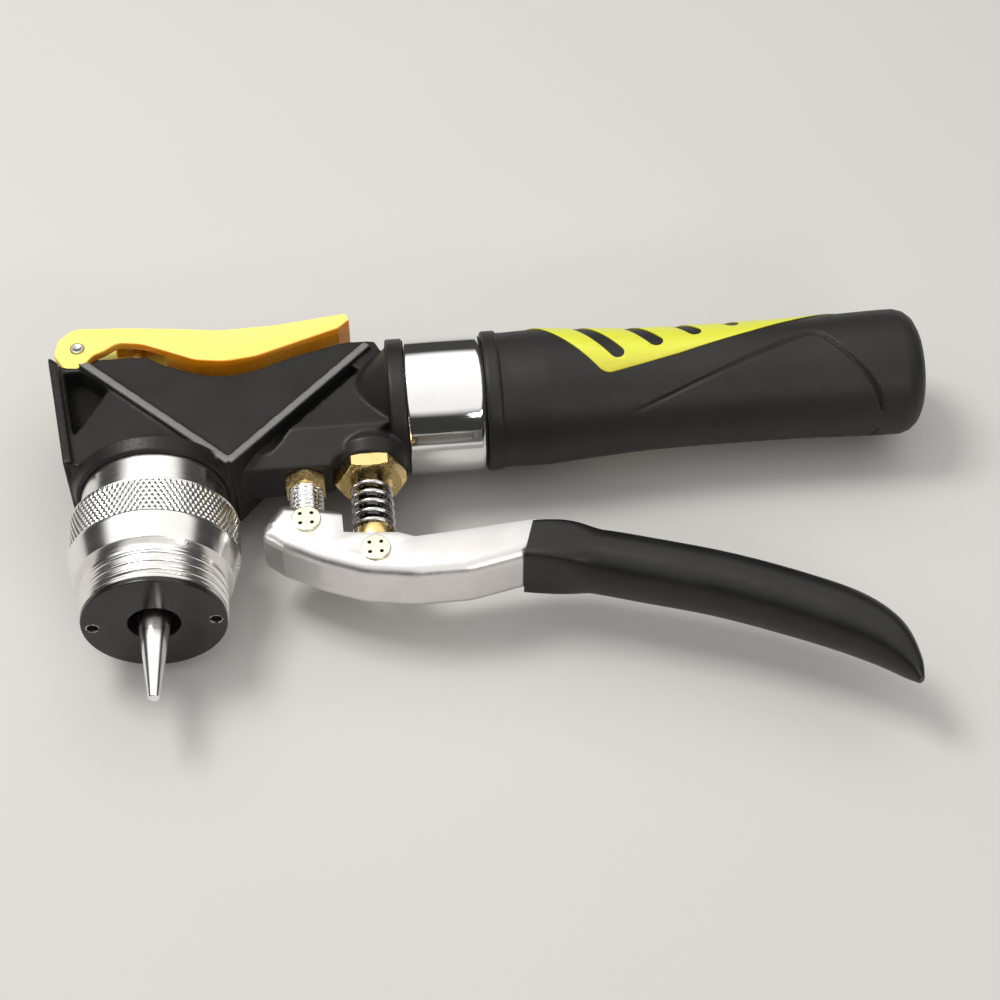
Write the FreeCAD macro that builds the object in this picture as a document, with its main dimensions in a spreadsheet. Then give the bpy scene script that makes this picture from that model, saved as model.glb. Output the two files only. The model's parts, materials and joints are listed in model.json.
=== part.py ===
"""Hand-operated hydraulic tube expander: pump casting, nose ram, pump lever, release trigger and handle.

Frame: X runs along the handle from the head to the grip's end, -Y is the way the mandrel points,
and Z is square to the tool's mid-plane. The origin is on the ram's axis, where the nose thread starts.
"""
import FreeCAD, Part
import math
import os
import Sketcher

# Driving dimensions in millimetres. A name that ends in _turns or _side is a plain number.
DIMENSIONS = {
    # nose, turned about the Y axis
    "thread_radius": 20.5, "cap_flange_radius": 20.1, "cap_flange_depth": 1.5,
    "cap_spigot_radius": 16.5, "cap_spigot_depth": 5.0, "cap_hole_radius": 7.3,
    "spanner_hole_radius": 1.6, "spanner_hole_circle": 16.9, "spanner_hole_depth": 1.2,
    "collar_face_radius": 22.2, "collar_radius": 24.1, "collar_front": 11.9,
    "collar_bevel_end": 18.9, "collar_back": 31.6, "sleeve_radius": 20.9, "sleeve_end": 44.5,
    "sleeve_bore": 17.3, "grub_radius": 1.5, "grub_gap": 0.05, "grub_length": 2.0,
    "grub_place": 15.6, "grub_socket_radius": 0.7, "grub_socket_depth": 1.0,
    "sleeve_seal_radius": 19.7, "sleeve_seal_wire": 0.9, "sleeve_seal_room": 1.9,
    # ram, mandrel and their springs and seals
    "piston_gap": 0.06, "piston_front": 32.0, "piston_back": 42.0, "ram_rod_radius": 6.6,
    "ram_rod_front": 14.0, "mandrel_tip": -25.8, "mandrel_tip_radius": 1.55,
    "mandrel_foot_radius": 6.5, "stud_radius": 3.0, "stud_end": 22.0, "stud_gap": 0.5,
    "piston_groove_place": 36.0, "groove_gap": 0.1, "seal_wire": 1.4, "ram_spring_radius": 12.8,
    "ram_spring_wire": 1.4, "ram_spring_turns": 3.5,
    # casting
    "barrel_radius": 23.4, "barrel_lip_radius": 22.2, "barrel_front": 42.0, "barrel_shoulder": 46.4,
    "barrel_top": 56.5, "barrel_top_radius": 11.0, "deck_height": 90.9, "deck_bend": 20.0,
    "web_half_top": 8.0, "web_half_base": 12.8, "web_base": 44.5, "web_foot": 40.5, "rib_rise": 1.6,
    "rib_width": 2.6, "rib_groove_depth": 3.5, "rib_groove_width": 3.0, "pocket_floor": 1.8,
    "slope_half": 6.5, "slope_end": 57.0, "slope_end_half": 12.36, "handle_height": 70.0,
    "socket_neck_x": 59.5, "socket_neck_radius": 10.0, "socket_start": 68.5, "socket_radius": 17.6,
    "flange_radius": 20.3, "flange_width": 5.0, "casting_end": 73.9, "spigot_radius": 15.0,
    "spigot_end": 84.0, "boss_radius": 9.9, "boss_front": 46.2, "boss_front_radius": 9.8,
    "boss_lip_radius": 11.4, "boss_lip": 50.0, "boss_neck": 56.0, "gallery_radius": 1.5,
    "gallery_height": 68.0, "gallery_drop_x": 8.0, "gallery_drop_radius": 1.3,
    "return_height": 76.2,
    # trigger and release valve
    "trigger_pivot_x": -22.7, "trigger_pivot_y": 96.6, "trigger_half_width": 6.4,
    "fork_half_gap": 3.6, "lug_half_width": 3.2, "lug_radius": 5.6, "lug_foot": 86.5,
    "relief_radius": 9.3, "trigger_pin_radius": 2.0, "trigger_pin_half": 6.9, "pin_gap": 0.06,
    "stem_x": -5.0, "stem_radius": 1.9, "stem_top": 100.9, "stem_gap": 0.05, "valve_floor": 60.0,
    "valve_ball_y": 68.0, "valve_ball_radius": 2.2, "valve_bore_radius": 3.4,
    "valve_shoulder_radius": 3.1, "valve_shoulder_depth": 2.0, "valve_nut_radius": 4.4,
    "valve_nut_depth": 8.0, "valve_nut_rim_radius": 3.5, "valve_nut_top": 92.4,
    "release_spring_radius": 2.0, "release_spring_wire": 0.35, "release_spring_turns": 4.0,
    # lever
    "fulcrum_x": 43.2, "fulcrum_y": 23.6, "plunger_x": 62.0, "crank_y": 11.8,
    "lever_pin_radius": 2.5, "lever_half_width": 9.1, "bend_radius": 20.0, "arm_nose_radius": 2.0,
    "back_radius": 4.0, "cheek_inner": 6.7, "tang_half_width": 5.5, "pin_head_radius": 4.2,
    "pin_head_depth": 0.8, "pin_head_gap": 0.05, "eye_radius": 5.4, "eye_half_width": 5.6,
    "link_radius": 5.0, "link_top": 54.0, "link_hole_front": 40.0, "locknut_flats": 11.0,
    "locknut_front": 40.0, "locknut_back": 44.3,
    # pump
    "gland_flats": 18.0, "gland_front": 41.6, "gland_shank_radius": 8.0, "gland_top": 56.0,
    "gland_seal_radius": 5.02, "gland_seal_wire": 0.9, "gland_seal_place": 52.0,
    "gland_groove_radius": 6.0, "gland_groove_width": 2.4, "plunger_radius": 4.0,
    "plunger_gap": 0.05, "plunger_top": 54.0, "pump_chamber_radius": 5.0, "pump_chamber_top": 62.0,
    "port_radius": 1.6, "discharge_radius": 3.0, "discharge_floor": 65.0, "discharge_top": 72.0,
    "discharge_ball_radius": 2.6, "discharge_ball_y": 67.7, "suction_radius": 4.0,
    "suction_front": 70.1, "suction_gallery_y": 60.0, "suction_link_x": 73.5,
    "suction_link_radius": 1.4, "suction_ball_radius": 2.8, "suction_ball_x": 73.2,
    "suction_seat_x": 80.5, "suction_seat_length": 3.5, "seat_radius": 6.2, "seat_front": 19.5,
    "seat_back": 23.4, "foot_radius": 4.3, "foot_half_width": 4.6, "foot_stalk_radius": 4.0,
    "slot_gap": 0.35, "slot_run": 2.9, "pump_spring_radius": 5.5, "pump_spring_wire": 0.7,
    "pump_spring_turns": 5.0,
    # handle
    "ring_end": 97.2, "ring_radius": 20.25, "ring_bevel": 1.4, "tube_radius": 15.0,
    "tube_bore": 13.2, "tube_end": 214.0, "bladder_radius": 12.6, "bladder_wall": 1.2,
    "bladder_start": 100.0, "bladder_end": 202.0, "plug_start": 204.0, "plug_face": 219.0,
    "filler_radius": 4.0, "filler_start": 210.0, "filler_end": 218.5, "grip_lip_end": 101.6,
    "grip_lip_radius": 20.7, "grip_edge_start": 221.3, "grip_edge_x": 225.8,
    "grip_edge_radius": 16.4, "grip_end_x": 227.8, "grip_face_radius": 11.5, "inlay_depth": 1.6,
    "inlay_stand": 0.3, "inlay_corner_radius": 4.0, "slot_radius": 2.2, "slot_start_x": 136.2,
    "slot_start_y": 69.2, "slot_step_x": 12.0, "slot_step_y": 3.9, "slot_reach_x": 17.0,
    "slot_reach_y": 24.0,
}
# Beyond any surface of the tool, for cutting tools that pass right through.
THROUGH = 30

doc = FreeCAD.newDocument("TubeExpander")
sheet = doc.addObject("Spreadsheet::Sheet", "Dims")
for row, (name, number) in enumerate(DIMENSIONS.items(), start=1):
    sheet.set(f"A{row}", name)
    sheet.set(f"B{row}", str(number))
    sheet.setAlias(f"B{row}", name)
doc.recompute()


class Size:
    """A length together with the sheet formula that gives it."""

    def __init__(self, value, text):
        self.value = value
        self.text = text

    def combine(self, other, sign, value):
        return Size(value, f"({self.text} {sign} {size(other).text})")

    def __add__(self, other):
        return self.combine(other, "+", self.value + size(other).value)

    def __sub__(self, other):
        return self.combine(other, "-", self.value - size(other).value)

    def __mul__(self, other):
        return self.combine(other, "*", self.value * size(other).value)

    def __truediv__(self, other):
        return self.combine(other, "/", self.value / size(other).value)

    def __radd__(self, other):
        return size(other) + self

    def __rsub__(self, other):
        return size(other) - self

    def __neg__(self):
        return Size(-self.value, f"(0 - {self.text})")


def size(number):
    """Return a Size for a sheet name, a plain number or a Size."""
    if isinstance(number, Size):
        return number
    if isinstance(number, str):
        return Size(float(sheet.get(number)), f"Dims.{number}")
    return Size(float(number), f"{number:.6f}")


def bind(item, prop, length):
    item.setExpression(prop, size(length).text)


def place(item, x=0, y=0, z=0, axis=(0, 0, 1), angle=0):
    """Put an object at bound coordinates, turned about an axis."""
    turn = FreeCAD.Rotation(FreeCAD.Vector(*axis), angle)
    item.Placement = FreeCAD.Placement(FreeCAD.Vector(), turn)
    for prop, length in (("x", x), ("y", y), ("z", z)):
        bind(item, f"Placement.Base.{prop}", length)
    return item


# ---------------------------------------------------------------- PartDesign helpers
def make_body(label):
    body = doc.addObject("PartDesign::Body", label)
    body.Label = label
    return body


def plane(body, role="XY_Plane"):
    return next(item for item in body.Origin.OriginFeatures if item.Role == role)


def outline(body, name, points, role="XY_Plane"):
    """A closed sketch of straight lines whose corners are bound to the sheet."""
    sketch = body.newObject("Sketcher::SketchObject", name)
    sketch.AttachmentSupport = [(plane(body, role), "")]
    sketch.MapMode = "FlatFace"
    corners = [(size(x), size(y)) for x, y in points]
    vectors = [FreeCAD.Vector(x.value, y.value, 0) for x, y in corners]
    count = len(vectors)
    for index in range(count):
        sketch.addGeometry(Part.LineSegment(vectors[index], vectors[(index + 1) % count]))
    for index in range(count):
        sketch.addConstraint(Sketcher.Constraint("Coincident", index, 2, (index + 1) % count, 1))
    for index, (x, y) in enumerate(corners):
        bind_corner(sketch, index, "DistanceX", -2, x)
        bind_corner(sketch, index, "DistanceY", -1, y)
    return sketch


def bind_corner(sketch, index, kind, own_axis, length):
    """Fix one coordinate of a corner: on the axis where it is zero, else at a bound distance."""
    if abs(length.value) < 1e-9:
        sketch.addConstraint(Sketcher.Constraint("PointOnObject", index, 1, own_axis))
        return
    number = sketch.addConstraint(Sketcher.Constraint(kind, -1, 1, index, 1, length.value))
    sketch.setExpression(f"Constraints[{number}]", length.text)


def turned(label, points, axis="V_Axis", groove=()):
    """A body turned from one profile, with optional turned grooves."""
    body = make_body(label)
    turn = body.newObject("PartDesign::Revolution", f"{label}_turn")
    turn.Profile = outline(body, f"{label}_profile", points)
    turn.ReferenceAxis = (turn.Profile[0], [axis])
    turn.Angle = 360
    for number, ring in enumerate(groove):
        cut = body.newObject("PartDesign::Groove", f"{label}_groove{number}")
        cut.Profile = outline(body, f"{label}_groove{number}_profile", ring)
        cut.ReferenceAxis = (cut.Profile[0], [axis])
        cut.Angle = 360
        body.Tip = cut
    return body


def pad(body, name, points, height, role="XY_Plane"):
    item = body.newObject("PartDesign::Pad", name)
    item.Profile = outline(body, f"{name}_sketch", points, role)
    bind(item, "Length", height)
    item.SideType = "Symmetric"
    body.Tip = item
    return item


def pocket(body, name, points, depth, role="XY_Plane"):
    item = body.newObject("PartDesign::Pocket", name)
    item.Profile = outline(body, f"{name}_sketch", points, role)
    bind(item, "Length", depth)
    item.SideType = "Symmetric"
    body.Tip = item
    return item


def round_edges(body, name, wanted, radius):
    """Round the body's edges that the given test picks."""
    doc.recompute()
    base = body.Tip
    edges = [f"Edge{number}" for number, edge in enumerate(base.Shape.Edges, start=1) if wanted(edge)]
    item = body.newObject("PartDesign::Fillet", name)
    item.Base = (base, edges)
    bind(item, "Radius", radius)
    body.Tip = item
    return item


def round_corners(body, name, corners, radius):
    """Round the edges that run along Z at the given corners."""
    places = [(size(x).value, size(y).value) for x, y in corners]

    def stands_at_corner(edge):
        ends = [vertex.Point for vertex in edge.Vertexes]
        if len(ends) != 2 or math.hypot(ends[0].x - ends[1].x, ends[0].y - ends[1].y) > 1e-6:
            return False
        return any(math.hypot(ends[0].x - x, ends[0].y - y) < 1e-4 for x, y in places)

    return round_edges(body, name, stands_at_corner, radius)


# ---------------------------------------------------------------- Part helpers
# The turn, as axis and angle, that lays a shape's own Z along each direction.
ALONG = {"X": ((0, 1, 0), 90), "Y": ((1, 0, 0), -90), "Z": ((0, 0, 1), 0)}
# The turn that lays a shape's own Z along +Y and its own X along Z.
ALONG_Y_TURNED = ((1, 1, 1), -120)


def cylinder(radius, height, x=0, y=0, z=0, along="Y"):
    """A cylinder that starts at the point and runs along +X, +Y or +Z."""
    item = doc.addObject("Part::Cylinder", "cylinder")
    bind(item, "Radius", radius)
    bind(item, "Height", height)
    return place(item, x, y, z, *ALONG[along])


def cone(radius_low, radius_high, height, x, y, along="Y"):
    """A cone that starts at the point and runs along +X or +Y."""
    item = doc.addObject("Part::Cone", "cone")
    bind(item, "Radius1", radius_low)
    bind(item, "Radius2", radius_high)
    bind(item, "Height", height)
    return place(item, x, y, 0, *ALONG[along])


def box(length, width, height, x=0, y=0, z=0):
    """A box whose low corner is at the point."""
    item = doc.addObject("Part::Box", "box")
    for prop, value in (("Length", length), ("Width", width), ("Height", height)):
        bind(item, prop, value)
    return place(item, x, y, z)


def ball(radius, x, y, z=0):
    item = doc.addObject("Part::Sphere", "ball")
    bind(item, "Radius", radius)
    return place(item, x, y, z)


def ring(radius, wire, y, x=0):
    """A torus about a line along Y through the point."""
    item = doc.addObject("Part::Torus", "ring")
    bind(item, "Radius1", radius)
    bind(item, "Radius2", wire)
    return place(item, x, y, 0, *ALONG["Y"])


def hexagon(flats, height, x, y, turn=ALONG["Y"]):
    """A hexagonal prism along +Y with a corner each way along X, or along Z when turned."""
    item = doc.addObject("Part::Prism", "hexagon")
    item.Polygon = 6
    bind(item, "Circumradius", size(flats) / math.sqrt(3))
    bind(item, "Height", height)
    return place(item, x, y, 0, *turn)


def plate(points, half_thickness, name="plate"):
    """A flat outline in the XY plane, padded both ways."""
    body = make_body(name)
    pad(body, f"{name}_pad", points, size(half_thickness) * 2)
    return body


def taper(low, high, y_low, y_high):
    """A wide block centred on Z = 0 whose half thickness goes from low to high over its height."""
    item = doc.addObject("Part::Wedge", "taper")
    for prop, value in (("Xmin", -THROUGH * 2), ("Xmax", THROUGH * 4), ("X2min", -THROUGH * 2),
                        ("X2max", THROUGH * 4),
                        ("Ymin", y_low), ("Ymax", y_high), ("Zmin", -size(low)), ("Zmax", low),
                        ("Z2min", -size(high)), ("Z2max", high)):
        bind(item, prop, value)
    return item


def fuse(parts):
    item = doc.addObject("Part::MultiFuse", "fuse")
    item.Shapes = parts
    item.Refine = True
    return item


def cut(base, tools):
    """Take every tool away from the base, one after another."""
    for tool in tools:
        item = doc.addObject("Part::Cut", "cut")
        item.Base = base
        item.Tool = tool
        item.Refine = True
        base = item
    return base


def common(first, second):
    item = doc.addObject("Part::MultiCommon", "common")
    item.Shapes = [first, second]
    return item


def coil(label, radius, wire, length, turns, x, y):
    """A round-wire compression spring along +Y."""
    helix = doc.addObject("Part::Helix", f"{label}_helix")
    bind(helix, "Radius", radius)
    bind(helix, "Pitch", (size(length) - size(wire) * 2) / size(turns))
    bind(helix, "Height", size(length) - size(wire) * 2)
    section = doc.addObject("Part::Circle", f"{label}_wire")
    bind(section, "Radius", wire)
    section.Placement = FreeCAD.Placement(FreeCAD.Vector(), FreeCAD.Rotation(FreeCAD.Vector(1, 0, 0), 90))
    bind(section, "Placement.Base.x", radius)
    item = doc.addObject("Part::Sweep", label)
    item.Sections = [section]
    item.Spine = (helix, ["Edge1"])
    item.Solid = True
    item.Frenet = True
    return place(item, x, size(y) + wire, 0, *ALONG["Y"])


NODES = []


def node(label, item):
    """Keep an object as one of the separate pieces."""
    item.Label = label
    NODES.append((label, item))
    return item


# ---------------------------------------------------------------- nose
def build_nose():
    node("nose_cylinder", turned("nose_cylinder", [
        ("sleeve_bore", 0), ("thread_radius", 0), ("thread_radius", "collar_front"),
        ("sleeve_radius", "collar_front"), ("sleeve_radius", "sleeve_end"), ("sleeve_bore", "sleeve_end")]))

    blank = turned("collar_blank", [
        ("sleeve_radius", "collar_front"), ("collar_face_radius", "collar_front"),
        ("collar_radius", "collar_bevel_end"), ("collar_radius", "collar_back"),
        ("sleeve_radius", "collar_back")])
    screw_foot = size("sleeve_radius") + "groove_gap"
    screw_end = screw_foot + "grub_length"
    hole_start = size("sleeve_radius") - "groove_gap"
    screw_hole = cylinder("grub_radius", size("collar_radius") - hole_start, hole_start, "grub_place", 0, "X")
    node("knurled_collar", cut(blank, [screw_hole]))
    screw = cylinder(size("grub_radius") - "grub_gap", "grub_length", screw_foot, "grub_place", 0, "X")
    socket = cylinder("grub_socket_radius", "grub_socket_depth", screw_end - "grub_socket_depth",
                      "grub_place", 0, "X")
    node("collar_set_screw", cut(screw, [socket]))

    cap = turned("cap_blank", [
        ("cap_hole_radius", -size("cap_flange_depth")), ("cap_flange_radius", -size("cap_flange_depth")),
        ("cap_flange_radius", 0), ("cap_spigot_radius", 0), ("cap_spigot_radius", "cap_spigot_depth"),
        ("cap_hole_radius", "cap_spigot_depth")])
    holes = [cylinder("spanner_hole_radius", "spanner_hole_depth", size("spanner_hole_circle") * side,
                      -size("cap_flange_depth")) for side in (-1, 1)]
    node("nose_cap", cut(cap, holes))
    seal_place = size("sleeve_end") + size("sleeve_seal_room") / 2
    node("sleeve_seal", ring("sleeve_seal_radius", "sleeve_seal_wire", seal_place))


# ---------------------------------------------------------------- ram
def build_ram():
    piston_radius = size("sleeve_bore") - "piston_gap"
    seal = size("seal_wire")
    groove_floor = piston_radius - seal * 2 - "groove_gap"
    groove_front = size("piston_groove_place") - seal - "groove_gap"
    groove_back = size("piston_groove_place") + seal + "groove_gap"
    groove = [(groove_floor, groove_front), ("collar_radius", groove_front), ("collar_radius", groove_back),
              (groove_floor, groove_back)]
    node("piston", turned("piston", [
        ("stud_radius", "ram_rod_front"), ("ram_rod_radius", "ram_rod_front"),
        ("ram_rod_radius", "piston_front"), (piston_radius, "piston_front"), (piston_radius, "piston_back"),
        (0, "piston_back"), (0, "stud_end"), ("stud_radius", "stud_end")], groove=[groove]))
    node("piston_seal", ring(piston_radius - seal - "pin_gap", seal, "piston_groove_place"))
    stud_tip = size("stud_end") - "stud_gap"
    node("mandrel", turned("mandrel", [
        (0, "mandrel_tip"), ("mandrel_tip_radius", "mandrel_tip"), ("mandrel_foot_radius", "ram_rod_front"),
        ("stud_radius", "ram_rod_front"), ("stud_radius", stud_tip), (0, stud_tip)]))
    node("ram_spring", coil("ram_spring", "ram_spring_radius", "ram_spring_wire",
                            size("piston_front") - "cap_spigot_depth", "ram_spring_turns", 0,
                            "cap_spigot_depth"))


# ---------------------------------------------------------------- casting
# The deck's hollow under the trigger: x, and how far below the deck.
DECK_DIP = [(-2, -1.0), (4.6, -5.7), (14.5, -10.2), (22.2, -12.0), (30.5, -10.0), (43.2, -4.6), (58, -0.4)]
DECK_LEFT_X = -31.0
# The web's outline from the deck's right end round the head of the casting to its left side.
WEB_SIDE = [(66, 89.9), (70, 80), (70, 56), (52, 46.4), (50.8, 44.5), (24, 44.5), (22, 46.6), (-22, 46.6),
            (-25, 52)]
# Where the two slanting ribs meet, and where each rib ends.
APEX = (22.4, 43.0)
LEFT_RIB_TOP = (-23.3, 90.9)
RIGHT_RIB_TOP = (63.8, 87.6)
SIDE_RIB = (-23.0, 46.8, -29.5, 90.9)
# The sloping front face lies below the right rib.
FRONT_SLOPE = [(25.6, 40), (25.6, 46.2), (35.6, 57), (100, 57), (100, 40)]
# The groove along the right rib: its ends, and its middle's distance from the rib's middle.
RIB_GROOVE_Y = (41.0, 81.0)
RIB_GROOVE_OFFSET = 2.9
POCKET = [(-26.2, 85.6), (-21.2, 85.6), (-14.4, 79.0), (-12.9, 76.4), (-22.0, 58.4), (-24.0, 70.5)]


def strip(x_low, y_low, x_high, y_high, width):
    """The four corners of a straight strip of the given width."""
    run_x, run_y = x_high - x_low, y_high - y_low
    reach = math.hypot(run_x, run_y)
    side_x, side_y = -run_y / reach * width / 2, run_x / reach * width / 2
    return [(x_low + side_x, y_low + side_y), (x_high + side_x, y_high + side_y),
            (x_high - side_x, y_high - side_y), (x_low - side_x, y_low - side_y)]


def rib_groove():
    """Cutting tool for the groove along the right rib's outer side, as deep all the way along."""
    run_x, run_y = RIGHT_RIB_TOP[0] - APEX[0], RIGHT_RIB_TOP[1] - APEX[1]
    reach = math.hypot(run_x, run_y)
    across_x, across_y = run_y / reach * RIB_GROOVE_OFFSET, -run_x / reach * RIB_GROOVE_OFFSET
    ends = []
    for y in RIB_GROOVE_Y:
        x = APEX[0] + run_x * (y - APEX[1]) / run_y
        ends += [x + across_x, y + across_y]
    depth = size("rib_groove_depth")
    floor = taper(size("web_half_base") - depth, size("web_half_top") - depth, "web_foot", "deck_height")
    return cut(plate(strip(*ends, size("rib_groove_width").value), THROUGH, "rib_groove"), [floor])


def front_slope():
    """Cutting tool for the sloping front face between the ribs' apex and the flange."""
    base = size("web_base")
    end = size("slope_end")
    rise = (size("slope_end_half") - "slope_half") / (end - base)
    start = size("web_foot")
    start_half = size("slope_half") - rise * (base - start)
    block = plate(FRONT_SLOPE, THROUGH, "front_slope")
    return cut(block, [taper(start_half, "slope_end_half", start, end)])


def casting_web():
    """The flat web with its raised ribs, thinner towards the deck."""
    deck = size("deck_height")
    dip = [(x, deck + drop) for x, drop in DECK_DIP]
    slope = ("web_foot", deck)
    blank = plate([(DECK_LEFT_X, deck)] + dip + WEB_SIDE, THROUGH, "web")
    round_corners(blank, "deck_dip", dip[1:-1], "deck_bend")
    web = cut(common(blank, taper("web_half_base", "web_half_top", *slope)), [rib_groove(), front_slope()])
    width = size("rib_width").value
    ribs = [strip(*APEX, *LEFT_RIB_TOP, width), strip(*APEX, *RIGHT_RIB_TOP, width), strip(*SIDE_RIB, width)]
    rise = size("rib_rise")
    return [web] + [common(plate(points, THROUGH, f"rib{number}"),
                           taper(size("web_half_base") + rise, size("web_half_top") + rise, *slope))
                    for number, points in enumerate(ribs)]


def casting_barrels():
    """The nose barrel with its dome, the handle's socket with its flange and spigot, and the pump's boss."""
    shoulder = size("barrel_shoulder")
    height = size("handle_height")
    end = size("casting_end")
    start = size("socket_start")
    flange_start = end - "flange_width"
    boss_front = size("boss_front")
    boss_lip = size("boss_lip")
    pump_x = size("plunger_x")
    return [
        cone("barrel_lip_radius", "barrel_radius", shoulder - "barrel_front", 0, "barrel_front"),
        cone("barrel_radius", "barrel_top_radius", size("barrel_top") - shoulder, 0, shoulder),
        cone("socket_neck_radius", "socket_radius", start - "socket_neck_x", "socket_neck_x", height, "X"),
        cylinder("socket_radius", end - start, start, height, 0, "X"),
        cylinder("flange_radius", "flange_width", flange_start, height, 0, "X"),
        cylinder("spigot_radius", size("spigot_end") - end, end, height, 0, "X"),
        cone("boss_front_radius", "boss_lip_radius", boss_lip - boss_front, pump_x, boss_front),
        cone("boss_lip_radius", "boss_radius", size("boss_neck") - boss_lip, pump_x, boss_lip),
        cylinder("boss_radius", height - "boss_neck", pump_x, "boss_neck")]


def trigger_mount(solid):
    """Cut the left pocket and the room for the trigger's ends, and add the lug between them."""
    x, y = size("trigger_pivot_x"), size("trigger_pivot_y")
    floor = size("pocket_floor")
    half = size("lug_half_width")
    pocket_room = cut(plate(POCKET, THROUGH, "pocket"),
                      [box(THROUGH * 2, THROUGH * 2, floor * 2, -THROUGH * 2, "web_base", -floor)])
    reach = size("relief_radius")
    relief = cut(cylinder(reach, THROUGH * 2, x, y, -THROUGH, "Z"),
                 [box(reach * 2, reach * 2, half * 2, x - reach, y - reach, -half)])
    lug = cylinder("lug_radius", half * 2, x, y, -half, "Z")
    lug_width = size("lug_radius") * 2
    lug_foot = box(lug_width, y - "lug_foot", half * 2, x - "lug_radius", "lug_foot", -half)
    return fuse([cut(solid, [pocket_room, relief]), lug, lug_foot])


def oil_ways():
    """The bores and galleries of the pump, the valves and the ram."""
    deck = size("deck_height")
    x = size("plunger_x")
    stem_x = size("stem_x")
    port = size("port_radius")
    drill = size("gallery_radius")
    chamber_top = size("pump_chamber_top")
    floor = size("discharge_floor")
    handle_y = size("handle_height")
    low = size("suction_gallery_y")
    return [
        cylinder("gland_shank_radius", size("gland_top") - "gland_front", x, "gland_front"),
        cylinder("pump_chamber_radius", chamber_top - "gland_top", x, "gland_top"),
        cylinder(port, floor - chamber_top, x, chamber_top),
        cylinder("discharge_radius", size("discharge_top") - floor, x, floor),
        cylinder(drill, x - stem_x, stem_x, "gallery_height", 0, "X"),
        cylinder("gallery_drop_radius", size("gallery_height") - "sleeve_end", "gallery_drop_x",
                 "sleeve_end"),
        cylinder(drill, size("spigot_end") - stem_x, stem_x, "return_height", 0, "X"),
        cylinder("valve_bore_radius", deck - "valve_floor", stem_x, "valve_floor"),
        cylinder("valve_nut_radius", "valve_nut_depth", stem_x, deck - "valve_nut_depth"),
        cylinder("suction_radius", size("spigot_end") - "suction_front", "suction_front", handle_y, 0, "X"),
        cylinder(port, size("suction_link_x") + port - x, x, low, 0, "X"),
        cylinder("suction_link_radius", handle_y - low, "suction_link_x", low)]


def build_casting():
    x, y = size("trigger_pivot_x"), size("trigger_pivot_y")
    bore_end = size("sleeve_end") + "sleeve_seal_room"
    solid = trigger_mount(fuse(casting_barrels() + casting_web()))
    ram_bore = cylinder("sleeve_radius", bore_end - "barrel_front", 0, "barrel_front")
    chamber = cylinder("sleeve_bore", 1, 0, bore_end)
    pin_hole = cylinder("trigger_pin_radius", THROUGH, x, y, -THROUGH / 2, "Z")
    link_bore = cylinder("link_radius", size("link_top") - "link_hole_front", "fulcrum_x", "link_hole_front")
    node("pump_body", cut(solid, [ram_bore, chamber, pin_hole, link_bore] + oil_ways()))


# ---------------------------------------------------------------- release valve and trigger
TRIGGER_TOP = [(-24.0, 104.8), (-8.6, 103.9), (4.5, 102.4), (20, 100.3), (36.8, 100.8), (58.0, 103.6)]
TRIGGER_FOOT = [(59.1, 100.8), (55.5, 97.6), (43.4, 93.3), (30.5, 88.6), (21.2, 87.4), (12.4, 88.8),
                (4.4, 92.8), (-3.5, 96.6), (-10.6, 97.8), (-14.4, 95.1), (-18.0, 93.4), (-21.9, 87.7),
                (-26.3, 88.5), (-29.8, 94.6), (-28.6, 100.7)]
TRIGGER_FORK = [(-40, 80), (3, 80), (3, 101.2), (-12, 101.2), (-14, 110), (-40, 110)]
# Corner radii: the tip, the pivot end, its lobe, the throat beside it and the long finger rest.
TRIGGER_ROUNDS = [("tip", 1.0, [TRIGGER_TOP[-1]] + TRIGGER_FOOT[:2]),
                  ("heel", 5.0, [TRIGGER_TOP[0]] + TRIGGER_FOOT[-2:]),
                  ("lobe", 3.0, TRIGGER_FOOT[11:13]),
                  ("throat", 4.0, [TRIGGER_FOOT[8], TRIGGER_FOOT[10]]),
                  ("hollow", 12.0, [TRIGGER_FOOT[5], TRIGGER_FOOT[7]]),
                  ("rest", 20.0, TRIGGER_FOOT[3:5] + TRIGGER_TOP[3:5])]


def build_trigger():
    x, y = size("trigger_pivot_x"), size("trigger_pivot_y")
    blank = make_body("trigger_blank")
    pad(blank, "trigger_pad", TRIGGER_TOP + TRIGGER_FOOT, size("trigger_half_width") * 2)
    pocket(blank, "trigger_fork", TRIGGER_FORK, size("fork_half_gap") * 2)
    for name, radius, corners in TRIGGER_ROUNDS:
        round_corners(blank, f"trigger_{name}", corners, radius)
    hole = cylinder(size("trigger_pin_radius") + "pin_gap", THROUGH, x, y, -THROUGH / 2, "Z")
    node("release_trigger", cut(blank, [hole]))
    half = size("trigger_pin_half")
    node("trigger_pin", cylinder("trigger_pin_radius", half * 2, x, y, -half, "Z"))


def build_release_valve():
    x = size("stem_x")
    deck = size("deck_height")
    nut_face = deck - "valve_nut_depth"
    nut = fuse([cylinder("valve_nut_radius", "valve_nut_depth", x, nut_face),
                cylinder("valve_nut_rim_radius", size("valve_nut_top") - deck, x, deck)])
    hole = cylinder(size("stem_radius") + "stem_gap", size("valve_nut_top") - nut_face, x, nut_face)
    node("release_valve_nut", cut(nut, [hole]))
    ball_top = size("valve_ball_y") + "valve_ball_radius"
    ball_foot = size("valve_ball_y") - "valve_ball_radius"
    shoulder = cylinder("valve_shoulder_radius", "valve_shoulder_depth", x,
                        nut_face - "valve_shoulder_depth" - "stem_gap")
    stem = cylinder("stem_radius", size("stem_top") - ball_top, x, ball_top)
    node("release_stem", fuse([stem, shoulder]))
    node("release_ball", ball("valve_ball_radius", x, "valve_ball_y"))
    node("release_spring", coil("release_spring", "release_spring_radius", "release_spring_wire",
                                ball_foot - "valve_floor", "release_spring_turns", x, "valve_floor"))


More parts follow.
